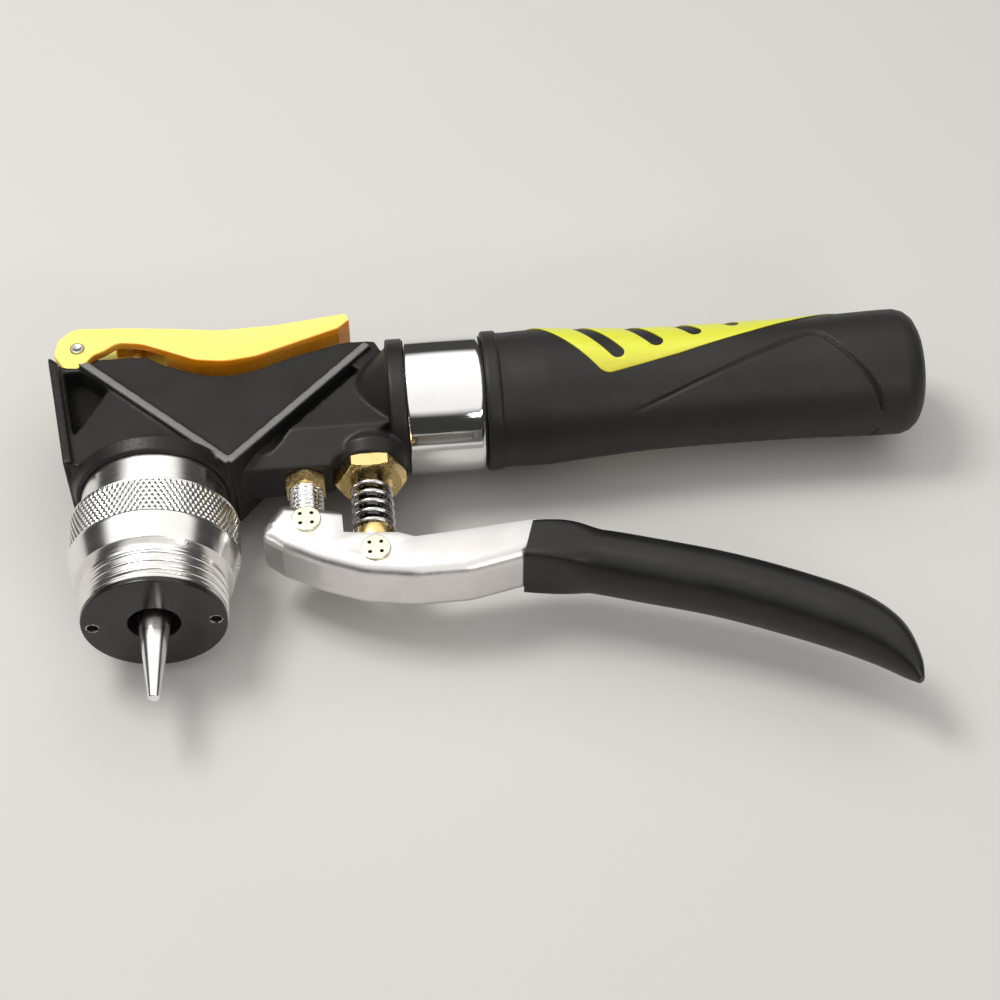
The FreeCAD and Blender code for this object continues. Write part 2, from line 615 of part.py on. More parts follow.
# ---------------------------------------------------------------- lever and pump
ARM_TOP = [(36.0, 31.2), (46.5, 28.9), (53.2, 25.3), (53.4, 18.3), (56.4, 17.9), (68.6, 16.8), (73, 14.9),
           (84, 15.7), (94, 16.6), (107.2, 17.8)]
ARM_SPINE = [(103.6, 6.2), (88, 2.6), (72, 2.5), (58, 4.9), (46.4, 9.7), (36.0, 15.6), (30.6, 20.2),
             (31.4, 24.6)]
ARM_CHANNEL = [(20, 45), (20, 30), (33.4, 24.5), (36.9, 20.2), (47.6, 12.4), (58.4, 7.0), (72, 4.8),
               (88, 5.0), (98, 7.2), (98, 45)]
TANG = [(100, 16.2), (116, 14.6), (140, 6.4), (138, 0.6), (115, 8.6), (100, 7.6)]
# Grip sections: centre x and y, direction in degrees, half height across the lever, half width.
GRIP_SECTIONS = [(104.6, 12.0, -18, 7.4, 9.6), (115.3, 11.4, -15, 8.5, 9.6), (136.6, 4.0, -19, 8.4, 9.5),
                 (157.0, -3.0, -21, 8.3, 9.4), (176.5, -11.6, -25, 8.3, 9.3), (191.0, -19.4, -31, 8.0, 8.9),
                 (199.5, -26.8, -46, 6.3, 7.7), (204.0, -34.8, -62, 3.2, 4.8), (205.6, -39.4, -68, 1.0, 1.8)]


def lever_pin(label, x, y):
    """A pin through both cheeks, with a staked head at each end."""
    half = size("lever_half_width") + "pin_head_gap"
    head = size("pin_head_depth")
    shank = cylinder("lever_pin_radius", half * 2, x, y, -half, "Z")
    heads = [cylinder("pin_head_radius", head, x, y, half, "Z"),
             cylinder("pin_head_radius", head, x, y, -half - head, "Z")]
    node(label, fuse([shank] + heads))


def arm_plate():
    """The pressed channel: a bent outline with a rounded back, open towards the casting."""
    arm = make_body("arm_blank")
    half = size("lever_half_width")
    pad(arm, "arm_pad", ARM_TOP + ARM_SPINE, half * 2)
    round_corners(arm, "arm_bend", ARM_SPINE[1:5], "bend_radius")
    round_corners(arm, "arm_nose", ARM_SPINE[5:] + ARM_TOP[:1], "arm_nose_radius")
    nose_x = ARM_TOP[1][0]

    def on_back(edge):
        middle = edge.CenterOfMass
        on_side = abs(abs(middle.z) - half.value) < 1e-4
        along_spine = nose_x < middle.x < ARM_SPINE[0][0] and middle.y < size("crank_y").value
        return on_side and along_spine

    round_edges(arm, "arm_back", on_back, "back_radius")
    pocket(arm, "arm_channel", ARM_CHANNEL, size("cheek_inner") * 2)
    return arm


def grip_section(x, y, lean, half_height, half_width):
    """One ellipse of the dipped grip, square to its direction."""
    section = doc.addObject("Part::Ellipse", "grip_section")
    bind(section, "MajorRadius", half_width)
    bind(section, "MinorRadius", half_height)
    turn = FreeCAD.Rotation(FreeCAD.Vector(0, 0, 1), lean) * FreeCAD.Rotation(FreeCAD.Vector(0, 1, 0), 90)
    section.Placement = FreeCAD.Placement(FreeCAD.Vector(x, y, 0), turn)
    return section


def build_lever():
    arm = fuse([arm_plate(), plate(TANG, "tang_half_width", "tang")])
    holes = [cylinder("lever_pin_radius", THROUGH, x, y, -THROUGH / 2, "Z")
             for x, y in (("fulcrum_x", "fulcrum_y"), ("plunger_x", "crank_y"))]
    node("lever_arm", cut(arm, holes))
    loft = doc.addObject("Part::Loft", "grip_loft")
    loft.Sections = [grip_section(*section) for section in GRIP_SECTIONS]
    loft.Solid = True
    node("lever_grip", cut(loft, [arm]))
    lever_pin("fulcrum_pin", "fulcrum_x", "fulcrum_y")
    lever_pin("plunger_pin", "plunger_x", "crank_y")


def build_fulcrum():
    x, y = size("fulcrum_x"), size("fulcrum_y")
    half = size("eye_half_width")
    stud = cylinder("link_radius", size("link_top") - y, x, y)
    eye = cylinder("eye_radius", half * 2, x, y, -half, "Z")
    hole = cylinder(size("lever_pin_radius") + "pin_gap", THROUGH, x, y, -THROUGH / 2, "Z")
    node("fulcrum_link", cut(fuse([stud, eye]), [hole]))
    thickness = size("locknut_back") - "locknut_front"
    nut = hexagon("locknut_flats", thickness, x, "locknut_front", ALONG_Y_TURNED)
    node("fulcrum_locknut", cut(nut, [cylinder("link_radius", thickness, x, "locknut_front")]))


def slotted_bar(radius, half_length):
    """A bar along Z whose round section is drawn out along +X by the slot's run, about the crank's place."""
    x, y = size("plunger_x"), size("crank_y")
    run = size("slot_run")
    return [cylinder(radius, half_length * 2, x, y, -half_length, "Z"),
            cylinder(radius, half_length * 2, x + run, y, -half_length, "Z"),
            box(run, radius * 2, half_length * 2, x, y - radius, -half_length)]


def build_plunger():
    """The steel plunger, and the brass seat whose slotted foot takes the lever's pin."""
    x = size("plunger_x")
    node("pump_plunger", cylinder("plunger_radius", size("plunger_top") - "seat_back", x, "seat_back"))
    seat = cylinder("seat_radius", size("seat_back") - "seat_front", x, "seat_front")
    stalk = cylinder("foot_stalk_radius", size("seat_front") - "crank_y", x, "crank_y")
    foot = slotted_bar(size("foot_radius"), size("foot_half_width"))
    slot = slotted_bar(size("lever_pin_radius") + "slot_gap", size(THROUGH / 2))
    node("plunger_foot", cut(fuse([seat, stalk] + foot), slot))
    node("pump_spring", coil("pump_spring", "pump_spring_radius", "pump_spring_wire",
                             size("gland_front") - "seat_back", "pump_spring_turns", x, "seat_back"))


def build_pump():
    x = size("plunger_x")
    front = size("gland_front")
    shank_front = size("boss_front")
    seal_place = size("gland_seal_place")
    groove_width = size("gland_groove_width")
    head = hexagon("gland_flats", shank_front - front, x, front)
    shank = cylinder("gland_shank_radius", size("gland_top") - shank_front, x, shank_front)
    bore = cylinder(size("plunger_radius") + "plunger_gap", size("gland_top") - front, x, front)
    seal_groove = cylinder("gland_groove_radius", groove_width, x, seal_place - groove_width / 2)
    node("pump_gland", cut(fuse([head, shank]), [bore, seal_groove]))
    node("gland_seal", ring("gland_seal_radius", "gland_seal_wire", seal_place, x))
    height = size("handle_height")
    node("suction_ball", ball("suction_ball_radius", "suction_ball_x", height))
    seat = cylinder("suction_radius", "suction_seat_length", "suction_seat_x", height, 0, "X")
    hole = cylinder("port_radius", "suction_seat_length", "suction_seat_x", height, 0, "X")
    node("suction_seat", cut(seat, [hole]))
    node("discharge_ball", ball("discharge_ball_radius", x, "discharge_ball_y"))


# ---------------------------------------------------------------- handle
# The grip's outline: distance along X and radius.
GRIP_NECK = (102.2, 20.0)
GRIP_PROFILE = [(115, 20.2), (130, 19.1), (145, 18.2), (165, 17.9), (190, 18.0), (205, 18.5), (216, 18.8)]
# The inlay's outline on the side of the grip, from its lowest corner; its top is above the grip.
INLAY_OUTLINE = [(132.0, 62.1), (107.8, 91.5), (107.8, 96), (215.5, 96), (215.5, 90.4), (194.5, 81.5),
                 (176.5, 74.7), (154.5, 67.7)]
INLAY_SLOTS = 5


def handle_part(label, points):
    """A piece turned about the handle's axis."""
    body = turned(label, points, "H_Axis")
    bind(body, "Placement.Base.y", "handle_height")
    return body


def build_reservoir():
    """The coupling ring, the tube and bladder that hold the oil, and the plug at their end."""
    ring_edge = size("ring_end") - "ring_bevel"
    node("coupling_ring", handle_part("coupling_ring", [
        ("casting_end", "spigot_radius"), ("casting_end", "ring_radius"), (ring_edge, "ring_radius"),
        ("ring_end", size("ring_radius") - "ring_bevel"), ("ring_end", "spigot_radius")]))
    node("reservoir_tube", handle_part("reservoir_tube", [
        ("spigot_end", "tube_bore"), ("spigot_end", "tube_radius"), ("tube_end", "tube_radius"),
        ("tube_end", "tube_bore")]))
    inside = size("bladder_radius") - "bladder_wall"
    end_wall = size("bladder_end") - "bladder_wall"
    node("reservoir_bladder", handle_part("reservoir_bladder", [
        ("bladder_start", inside), ("bladder_start", "bladder_radius"), ("bladder_end", "bladder_radius"),
        ("bladder_end", 0), (end_wall, 0), (end_wall, inside)]))
    node("end_plug", handle_part("end_plug", [
        ("plug_start", "filler_radius"), ("plug_start", "tube_bore"), ("tube_end", "tube_bore"),
        ("tube_end", "tube_radius"), ("plug_face", "tube_radius"), ("plug_face", "filler_radius")]))
    node("filler_screw", handle_part("filler_screw", [
        ("filler_start", 0), ("filler_start", "filler_radius"), ("filler_end", "filler_radius"),
        ("filler_end", 0)]))


def inlay_slots():
    """Cutting tools for the leaning slots: each starts at a round foot and runs out past the inlay's edge."""
    tools = []
    radius = size("slot_radius")
    for number in range(INLAY_SLOTS):
        foot_x = size("slot_start_x") + size("slot_step_x") * number
        foot_y = size("slot_start_y") + size("slot_step_y") * number
        reach_x, reach_y = size("slot_reach_x").value, size("slot_reach_y").value
        corners = strip(foot_x.value, foot_y.value, foot_x.value - reach_x, foot_y.value + reach_y,
                        radius.value * 2)
        tools.append(plate(corners, THROUGH, f"inlay_slot{number}"))
        tools.append(cylinder(radius, THROUGH * 2, foot_x, foot_y, -THROUGH, "Z"))
    return tools


def build_grip():
    end = size("grip_end_x")
    blank = handle_part("grip_blank", [
        ("ring_end", "tube_radius"), ("ring_end", "grip_lip_radius"), ("grip_lip_end", "grip_lip_radius"),
        GRIP_NECK] + GRIP_PROFILE + [
        ("grip_edge_start", GRIP_PROFILE[-1][1]), ("grip_edge_x", "grip_edge_radius"),
        (end, "grip_face_radius"), (end, 0), ("plug_face", 0), ("plug_face", "tube_radius")])
    stations = [(INLAY_OUTLINE[1][0] - 1.5, GRIP_PROFILE[0][1])] + GRIP_PROFILE
    outside = [(x, size(radius) + "inlay_stand") for x, radius in stations]
    inside = [(x, size(radius) - "inlay_depth") for x, radius in reversed(stations)]
    skin = handle_part("inlay_skin", outside + inside)
    shape = plate(INLAY_OUTLINE, THROUGH, "inlay_outline")
    round_corners(shape, "inlay_corner", INLAY_OUTLINE[:1], "inlay_corner_radius")
    inlay = cut(common(skin, shape), inlay_slots())
    node("grip_inlay", inlay)
    node("handle_grip", cut(blank, [inlay]))


build_nose()
build_ram()
build_casting()
build_trigger()
build_release_valve()
build_lever()
build_fulcrum()
build_plunger()
build_pump()
build_reservoir()
build_grip()
doc.recompute()

for item in doc.Objects:
    if "Invalid" in item.State or "Error" in item.State:
        raise RuntimeError(f"{item.Name} ({item.Label}) did not compute: {item.State}")
for label, item in NODES:
    if item.Shape.isNull() or not item.Shape.isValid() or item.Shape.Volume <= 0:
        raise RuntimeError(f"{label} has no valid shape")

os.makedirs("parts", exist_ok=True)
for label, item in NODES:
    item.Shape.exportStep(f"parts/{label}.step")
    print(f"{label}: {len(item.Shape.Solids)} solid(s), {item.Shape.Volume:.0f} mm3")
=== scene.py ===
"""Looks of the hydraulic tube expander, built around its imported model.

Everything is in metres in the part's own frame: X along the handle, -Y the mandrel's direction, +Z up.
"""
import json
import math

import bmesh
import bpy
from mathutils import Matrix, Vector

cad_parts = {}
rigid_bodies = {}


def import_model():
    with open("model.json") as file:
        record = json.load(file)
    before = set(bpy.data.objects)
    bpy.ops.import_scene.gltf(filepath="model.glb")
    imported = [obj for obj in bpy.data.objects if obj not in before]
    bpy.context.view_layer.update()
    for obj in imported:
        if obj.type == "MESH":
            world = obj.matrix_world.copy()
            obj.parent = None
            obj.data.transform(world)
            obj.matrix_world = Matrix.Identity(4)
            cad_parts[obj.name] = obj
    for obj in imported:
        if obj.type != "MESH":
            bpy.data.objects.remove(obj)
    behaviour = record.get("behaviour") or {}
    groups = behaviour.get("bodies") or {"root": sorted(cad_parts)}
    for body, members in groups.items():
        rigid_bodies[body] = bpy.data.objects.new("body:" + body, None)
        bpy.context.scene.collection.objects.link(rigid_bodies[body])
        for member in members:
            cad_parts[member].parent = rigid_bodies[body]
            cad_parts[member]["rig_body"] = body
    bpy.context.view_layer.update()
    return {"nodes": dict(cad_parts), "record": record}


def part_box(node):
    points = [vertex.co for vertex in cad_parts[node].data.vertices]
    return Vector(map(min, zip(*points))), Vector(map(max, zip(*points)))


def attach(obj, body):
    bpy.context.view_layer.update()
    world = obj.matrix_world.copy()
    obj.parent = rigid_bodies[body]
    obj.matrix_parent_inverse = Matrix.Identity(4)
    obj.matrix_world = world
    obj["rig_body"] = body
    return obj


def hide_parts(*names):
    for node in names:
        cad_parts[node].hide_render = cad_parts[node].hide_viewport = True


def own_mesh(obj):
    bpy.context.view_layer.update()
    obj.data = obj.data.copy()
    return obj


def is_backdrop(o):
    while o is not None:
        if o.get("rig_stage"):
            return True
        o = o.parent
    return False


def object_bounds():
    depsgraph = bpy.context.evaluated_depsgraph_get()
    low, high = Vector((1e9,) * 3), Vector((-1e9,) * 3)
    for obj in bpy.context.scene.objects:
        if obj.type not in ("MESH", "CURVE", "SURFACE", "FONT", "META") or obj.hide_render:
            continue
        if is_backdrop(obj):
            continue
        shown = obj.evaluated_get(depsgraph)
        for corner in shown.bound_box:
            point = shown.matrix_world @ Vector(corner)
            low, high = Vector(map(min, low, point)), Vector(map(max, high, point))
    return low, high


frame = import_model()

MM = 0.001
NODES = frame["nodes"]

# ---------------------------------------------------------------- places read from the frame
COLLAR_LOW, COLLAR_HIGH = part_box("knurled_collar")
SLEEVE_LOW, SLEEVE_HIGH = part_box("nose_cylinder")
COLLAR_BORE = SLEEVE_HIGH.x
CAP_LOW, CAP_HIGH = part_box("nose_cap")
GLAND_LOW, GLAND_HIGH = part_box("pump_gland")
LOCKNUT_LOW, LOCKNUT_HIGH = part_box("fulcrum_locknut")
SCREW_LOW, SCREW_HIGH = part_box("collar_set_screw")
VALVE_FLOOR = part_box("release_spring")[0].y
PLUNGER_X = (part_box("pump_plunger")[0].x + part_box("pump_plunger")[1].x) / 2
PLUNGER_RADIUS = (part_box("pump_plunger")[1].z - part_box("pump_plunger")[0].z) / 2
HANDLE_Y = (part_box("coupling_ring")[0].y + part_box("coupling_ring")[1].y) / 2
ORIGIN = (0.0, 0.0, 0.0)
HANDLE_AXIS = (0.0, HANDLE_Y, 0.0)
# Where the gland's hexagon ends against the casting, and the cap's two spanner holes.
GLAND_SEAT = 46.2 * MM
SPANNER_CIRCLE = 16.9 * MM
SPANNER_RADIUS = 1.6 * MM
SPANNER_DEPTH = 1.2 * MM


# ---------------------------------------------------------------- materials
class Finish:
    """A principled material together with the few node patterns that its surface needs."""

    def __init__(self, name, colour, roughness, metallic=0.0):
        self.material = bpy.data.materials.new(name)
        self.material.use_nodes = True
        self.tree = self.material.node_tree
        self.shader = self.tree.nodes["Principled BSDF"]
        self.set("Base Color", (*colour, 1.0))
        self.set("Roughness", roughness)
        self.set("Metallic", metallic)
        self.colour = colour
        self.place = self.add("ShaderNodeTexCoord").outputs["Object"]
        self.height = None

    def set(self, socket, value):
        self.shader.inputs[socket].default_value = value

    def add(self, kind, **inputs):
        node = self.tree.nodes.new(kind)
        for socket, value in inputs.items():
            self.feed(node.inputs[socket.replace("_", " ")], value)
        return node

    def feed(self, socket, value):
        if isinstance(value, bpy.types.NodeSocket):
            self.tree.links.new(value, socket)
        else:
            socket.default_value = value

    def math(self, operation, *values):
        node = self.add("ShaderNodeMath")
        node.operation = operation
        for socket, value in zip(node.inputs, values):
            self.feed(socket, value)
        return node.outputs[0]

    def scaled(self, source, factors):
        node = self.add("ShaderNodeVectorMath")
        node.operation = "MULTIPLY"
        self.feed(node.inputs[0], source)
        node.inputs[1].default_value = factors
        return node.outputs[0]

    def noise(self, size, detail=3.0, stretch=(1.0, 1.0, 1.0), source=None):
        """Noise whose grains are about the given size."""
        place = self.scaled(source or self.place, stretch)
        return self.add("ShaderNodeTexNoise", Vector=place, Scale=1 / size, Detail=detail).outputs[0]

    def span(self, source, low, high, start=0.0, end=1.0):
        """Map low..high of the source to start..end, and hold it beyond."""
        node = self.add("ShaderNodeMapRange")
        for socket, value in zip(node.inputs, (source, low, high, start, end)):
            self.feed(socket, value)
        return node.outputs[0]

    def marked(self, name):
        """The value that a piece's mesh carries under the given name, 0 where it has none."""
        node = self.add("ShaderNodeAttribute")
        node.attribute_name = name
        return node.outputs["Fac"]

    def tint(self, mask, colour):
        """Blend the base colour towards another by the mask."""
        node = self.add("ShaderNodeMix")
        node.data_type = "RGBA"
        self.feed(node.inputs[0], mask)
        base = self.shader.inputs["Base Color"]
        if base.is_linked:
            self.feed(node.inputs[6], base.links[0].from_socket)
        else:
            node.inputs[6].default_value = (*self.colour, 1.0)
        node.inputs[7].default_value = (*colour, 1.0)
        self.tree.links.new(node.outputs[2], base)

    def rough(self, mask, low, high):
        self.feed(self.shader.inputs["Roughness"], self.span(mask, 0.3, 0.7, low, high))

    def bump(self, height, depth):
        """Add a height pattern of the given depth in metres."""
        node = self.add("ShaderNodeBump", Height=height, Distance=depth, Strength=1.0)
        if self.height is not None:
            self.feed(node.inputs["Normal"], self.height)
        self.height = node.outputs[0]
        self.feed(self.shader.inputs["Normal"], self.height)

    def length(self, first, second):
        """The length of a flat vector from its two parts."""
        return self.math("SQRT", self.math("ADD", self.math("MULTIPLY", first, first),
                                           self.math("MULTIPLY", second, second)))

    def rings(self, axis, centre, size):
        """Fine turning marks: noise that changes along an axis and with the distance from it."""
        parts = self.add("ShaderNodeSeparateXYZ", Vector=self.place).outputs
        along = "XYZ".index(axis)
        first, second = [number for number in range(3) if number != along]
        side = self.math("SUBTRACT", parts[first], centre[first])
        other = self.math("SUBTRACT", parts[second], centre[second])
        place = self.add("ShaderNodeCombineXYZ", X=parts[along], Y=self.length(side, other)).outputs[0]
        return self.noise(size, 4.0, source=place)


def casting_black():
    """Satin black paint over a cast surface; the rib crests get grey wear with a painted highlight, and the
    hollows get painted shade and more roughness.
    """
    finish = Finish("casting_black", (0.012, 0.0108, 0.0095), 0.42)
    finish.tint(finish.span(finish.noise(14 * MM), 0.35, 0.7), (0.017, 0.0162, 0.015))
    finish.set("Specular IOR Level", 0.28)
    # Painted shade: hollows found by the piece's own occlusion are darkened and made rougher.
    open_sky = finish.add("ShaderNodeAmbientOcclusion", Distance=12 * MM)
    open_sky.only_local = True
    painted_recess_shade = finish.span(open_sky.outputs["AO"], 0.85, 0.45)
    finish.tint(painted_recess_shade, (0.0015, 0.0014, 0.0012))
    # Wear and painted highlight: the rib crests are lightened to grey.
    grain = finish.span(finish.noise(0.5 * MM, 4.0), 0.3, 0.7, 0.7, 1.0)
    finish.tint(finish.math("MULTIPLY", finish.marked("rib_wear_and_highlight"), grain), (0.2, 0.195, 0.185))
    satin = finish.span(finish.noise(1.2 * MM, 4.0), 0.3, 0.7, 0.36, 0.48)
    finish.feed(finish.shader.inputs["Roughness"],
                finish.math("ADD", satin, finish.math("MULTIPLY", painted_recess_shade, 0.5)))
    finish.bump(finish.noise(0.3 * MM, 4.0), 0.012 * MM)
    return finish.material


def machined_steel():
    """Bright turned steel with fine rings round the nose."""
    finish = Finish("machined_steel", (0.88, 0.87, 0.85), 0.24, 1.0)
    marks = finish.rings("Y", ORIGIN, 0.16 * MM)
    finish.tint(finish.span(finish.noise(7 * MM), 0.45, 0.8), (0.8, 0.79, 0.76))
    finish.tint(finish.span(finish.noise(0.5 * MM, 6.0), 0.66, 0.8), (0.62, 0.6, 0.57))
    finish.rough(marks, 0.15, 0.24)
    finish.bump(marks, 0.005 * MM)
    return finish.material


def inner_steel():
    """Plain ground steel for the pieces inside."""
    finish = Finish("inner_steel", (0.5, 0.49, 0.48), 0.3, 1.0)
    finish.tint(finish.span(finish.noise(3 * MM), 0.4, 0.7), (0.38, 0.37, 0.36))
    finish.rough(finish.noise(0.6 * MM), 0.24, 0.38)
    finish.bump(finish.noise(0.2 * MM), 0.01 * MM)
    return finish.material


def nose_black():
    """Blackened steel with a semi-gloss oiled face, turning rings and light grey rims round its spanner holes.
    """
    finish = Finish("nose_black", (0.012, 0.011, 0.011), 0.2)
    finish.set("Specular IOR Level", 0.45)
    marks = finish.rings("Y", ORIGIN, 0.3 * MM)
    finish.tint(finish.span(finish.noise(4 * MM), 0.45, 0.7), (0.02, 0.0185, 0.018))
    parts = finish.add("ShaderNodeSeparateXYZ", Vector=finish.place).outputs
    side = finish.math("SUBTRACT", finish.math("ABSOLUTE", parts[0]), SPANNER_CIRCLE)
    reach = finish.length(side, parts[2])
    rim = finish.math("MULTIPLY", finish.span(reach, SPANNER_RADIUS - 0.1 * MM, SPANNER_RADIUS),
                      finish.span(reach, SPANNER_RADIUS + 0.4 * MM, SPANNER_RADIUS + 0.3 * MM))
    front = finish.span(parts[1], CAP_LOW.y + 0.4 * MM, CAP_LOW.y + 0.3 * MM)
    light_rim = finish.math("MULTIPLY", finish.math("MULTIPLY", rim, front),
                       finish.span(finish.noise(1.6 * MM), 0.4, 0.6))
    finish.tint(light_rim, (0.5, 0.49, 0.45))
    finish.rough(marks, 0.14, 0.26)
    finish.bump(marks, 0.01 * MM)
    return finish.material


def mandrel_steel():
    """Polished steel with a faint copper tint towards its root."""
    finish = Finish("mandrel_steel", (0.93, 0.92, 0.9), 0.16, 1.0)
    along = finish.add("ShaderNodeSeparateXYZ", Vector=finish.place).outputs[1]
    root = finish.span(along, -8 * MM, 2 * MM)
    finish.tint(finish.math("MULTIPLY", root, 0.4), (0.8, 0.58, 0.45))
    marks = finish.rings("Y", ORIGIN, 0.22 * MM)
    finish.rough(marks, 0.12, 0.26)
    finish.bump(marks, 0.008 * MM)
    return finish.material


def spring_steel():
    """Bright drawn wire with a darker bloom."""
    finish = Finish("spring_steel", (0.7, 0.7, 0.7), 0.2, 1.0)
    finish.tint(finish.span(finish.noise(1.6 * MM), 0.5, 0.75), (0.4, 0.39, 0.38))
    finish.rough(finish.noise(0.5 * MM), 0.14, 0.28)
    finish.bump(finish.noise(0.15 * MM, stretch=(1.0, 3.0, 1.0)), 0.008 * MM)
    return finish.material


def yellow_paint(name, colour, underside_shade, roughness):
    """Lemon-yellow moulding with a soft gloss, painted shade on its faces turned towards -Y, slight random
    changes of tone and fine scuffs.
    """
    finish = Finish(name, colour, roughness)
    finish.set("Coat Weight", 0.2)
    finish.set("Coat Roughness", 0.25)
    facing = finish.add("ShaderNodeNewGeometry").outputs["Normal"]
    back = finish.add("ShaderNodeSeparateXYZ", Vector=facing).outputs[1]
    # Painted shade: faces turned towards -Y are tinted to the deeper orange colour.
    finish.tint(finish.span(back, 0.05, -0.5), underside_shade)
    shade = tuple(0.85 * part for part in colour)
    finish.tint(finish.span(finish.noise(14 * MM), 0.45, 0.75, 0.0, 0.3), shade)
    finish.tint(finish.span(finish.noise(0.35 * MM, 6.0), 0.72, 0.8, 0.0, 0.5), (0.62, 0.47, 0.03))
    finish.rough(finish.noise(1.4 * MM), roughness - 0.06, roughness + 0.08)
    finish.bump(finish.noise(0.5 * MM, 4.0), 0.014 * MM)
    return finish.material


def brass():
    """Clean golden brass with a faint bloom and tool marks, paler on the pins, with painted shade in their
    punch marks.
    """
    finish = Finish("brass", (0.9, 0.68, 0.3), 0.24, 1.0)
    finish.tint(finish.span(finish.noise(4 * MM), 0.45, 0.75), (0.84, 0.6, 0.23))
    finish.tint(finish.span(finish.noise(1.1 * MM, 5.0), 0.62, 0.8), (0.7, 0.48, 0.18))
    finish.tint(finish.marked("pale"), (0.88, 0.85, 0.66))
    # Painted shade on the floors of the punch marks.
    finish.tint(finish.marked("punch_floor_shade"), (0.05, 0.045, 0.035))
    finish.rough(finish.noise(0.9 * MM), 0.2, 0.32)
    finish.bump(finish.noise(0.6 * MM, 3.0, stretch=(1.0, 0.3, 1.0)), 0.002 * MM)
    return finish.material


def chrome():
    """Mirror chrome with the faintest waviness, and a painted dark reflection on the pump plunger."""
    finish = Finish("chrome", (0.9, 0.9, 0.9), 0.05, 1.0)
    marks = finish.rings("X", HANDLE_AXIS, 0.25 * MM)
    finish.tint(finish.span(finish.noise(6 * MM), 0.5, 0.8), (0.86, 0.86, 0.87))
    parts = finish.add("ShaderNodeSeparateXYZ", Vector=finish.place).outputs
    reach = finish.length(finish.math("SUBTRACT", parts[0], PLUNGER_X), parts[2])
    # Painted dark reflection: the pump plunger is darkened from the gland seat on towards -Y.
    painted_dark_reflection = finish.math("MULTIPLY", finish.span(reach, PLUNGER_RADIUS + 0.6 * MM, PLUNGER_RADIUS + 0.4 * MM),
                        finish.span(parts[1], GLAND_SEAT, GLAND_SEAT - 1 * MM))
    finish.tint(painted_dark_reflection, (0.1, 0.095, 0.09))
    finish.rough(marks, 0.04, 0.09)
    finish.bump(finish.noise(5 * MM, 1.0), 0.01 * MM)
    return finish.material


def lever_chrome():
    """Whitish satin plating over a bead-blasted pressing."""
    finish = Finish("lever_chrome", (0.76, 0.74, 0.735), 0.34, 1.0)
    finish.tint(finish.span(finish.noise(8 * MM), 0.4, 0.75), (0.71, 0.69, 0.685))
    finish.rough(finish.noise(1.5 * MM), 0.3, 0.4)
    finish.bump(finish.noise(0.28 * MM, 3.0), 0.004 * MM)
    return finish.material


def lever_vinyl():
    """Black dipped vinyl with a low sheen and a slightly uneven skin."""
    finish = Finish("lever_vinyl", (0.008, 0.0078, 0.0078), 0.36)
    finish.set("Specular IOR Level", 0.34)
    finish.tint(finish.span(finish.noise(12 * MM), 0.4, 0.7), (0.012, 0.0118, 0.0118))
    finish.rough(finish.noise(4 * MM), 0.32, 0.42)
    finish.bump(finish.noise(7 * MM, 1.0), 0.08 * MM)
    finish.bump(finish.noise(0.3 * MM, 4.0), 0.01 * MM)
    return finish.material


def grip_rubber():
    """Charcoal moulded rubber: matt, fine-grained, a little greyer where hands polish it."""
    finish = Finish("grip_rubber", (0.014, 0.0138, 0.0135), 0.5)
    finish.set("Specular IOR Level", 0.3)
    finish.tint(finish.span(finish.noise(22 * MM), 0.4, 0.7), (0.018, 0.0178, 0.0174))
    finish.rough(finish.noise(3 * MM), 0.44, 0.54)
    finish.bump(finish.noise(0.22 * MM, 3.0), 0.02 * MM)
    return finish.material


def seal_rubber():
    """Oiled black rubber."""
    finish = Finish("seal_rubber", (0.02, 0.02, 0.02), 0.35)
    finish.tint(finish.span(finish.noise(2 * MM), 0.4, 0.7), (0.035, 0.034, 0.033))
    finish.rough(finish.noise(1 * MM), 0.28, 0.45)
    finish.bump(finish.noise(0.2 * MM), 0.01 * MM)
    return finish.material


def tube_aluminium():
    """Drawn aluminium tube with rings round the handle's axis."""
    finish = Finish("tube_aluminium", (0.66, 0.66, 0.67), 0.32, 1.0)
    marks = finish.rings("X", HANDLE_AXIS, 0.3 * MM)
    finish.tint(finish.span(finish.noise(4 * MM), 0.4, 0.7), (0.55, 0.55, 0.56))
    finish.rough(marks, 0.24, 0.42)
    finish.bump(marks, 0.012 * MM)
    return finish.material


MATERIALS = {
    "casting_black": casting_black(), "machined_steel": machined_steel(), "inner_steel": inner_steel(),
    "nose_black": nose_black(), "mandrel_steel": mandrel_steel(), "spring_steel": spring_steel(),
    # Each yellow's second colour is the painted shade on its faces turned towards -Y.
    "trigger_yellow": yellow_paint("trigger_yellow", (0.95, 0.88, 0.19), (0.8, 0.27, 0.003), 0.3),
    "inlay_yellow": yellow_paint("inlay_yellow", (0.66, 0.69, 0.05), (0.5, 0.42, 0.02), 0.42),
    "brass": brass(), "chrome": chrome(), "lever_chrome": lever_chrome(), "lever_vinyl": lever_vinyl(),
    "grip_rubber": grip_rubber(), "seal_rubber": seal_rubber(), "tube_aluminium": tube_aluminium(),
}
NODE_SLOTS = {entry["node"]: entry["material_slot"] for entry in frame["record"]["subparts"]}


def dress_nodes():
    """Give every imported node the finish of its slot."""
    for name, node in NODES.items():
        node.data.materials.clear()
        node.data.materials.append(MATERIALS[NODE_SLOTS[name]])


# ---------------------------------------------------------------- mesh helpers
# For each axis: its own direction, then the two directions across it.
AXES = {"X": (Vector((1, 0, 0)), Vector((0, 1, 0)), Vector((0, 0, 1))),
        "Y": (Vector((0, 1, 0)), Vector((0, 0, 1)), Vector((1, 0, 0))),
        "Z": (Vector((0, 0, 1)), Vector((1, 0, 0)), Vector((0, 1, 0)))}


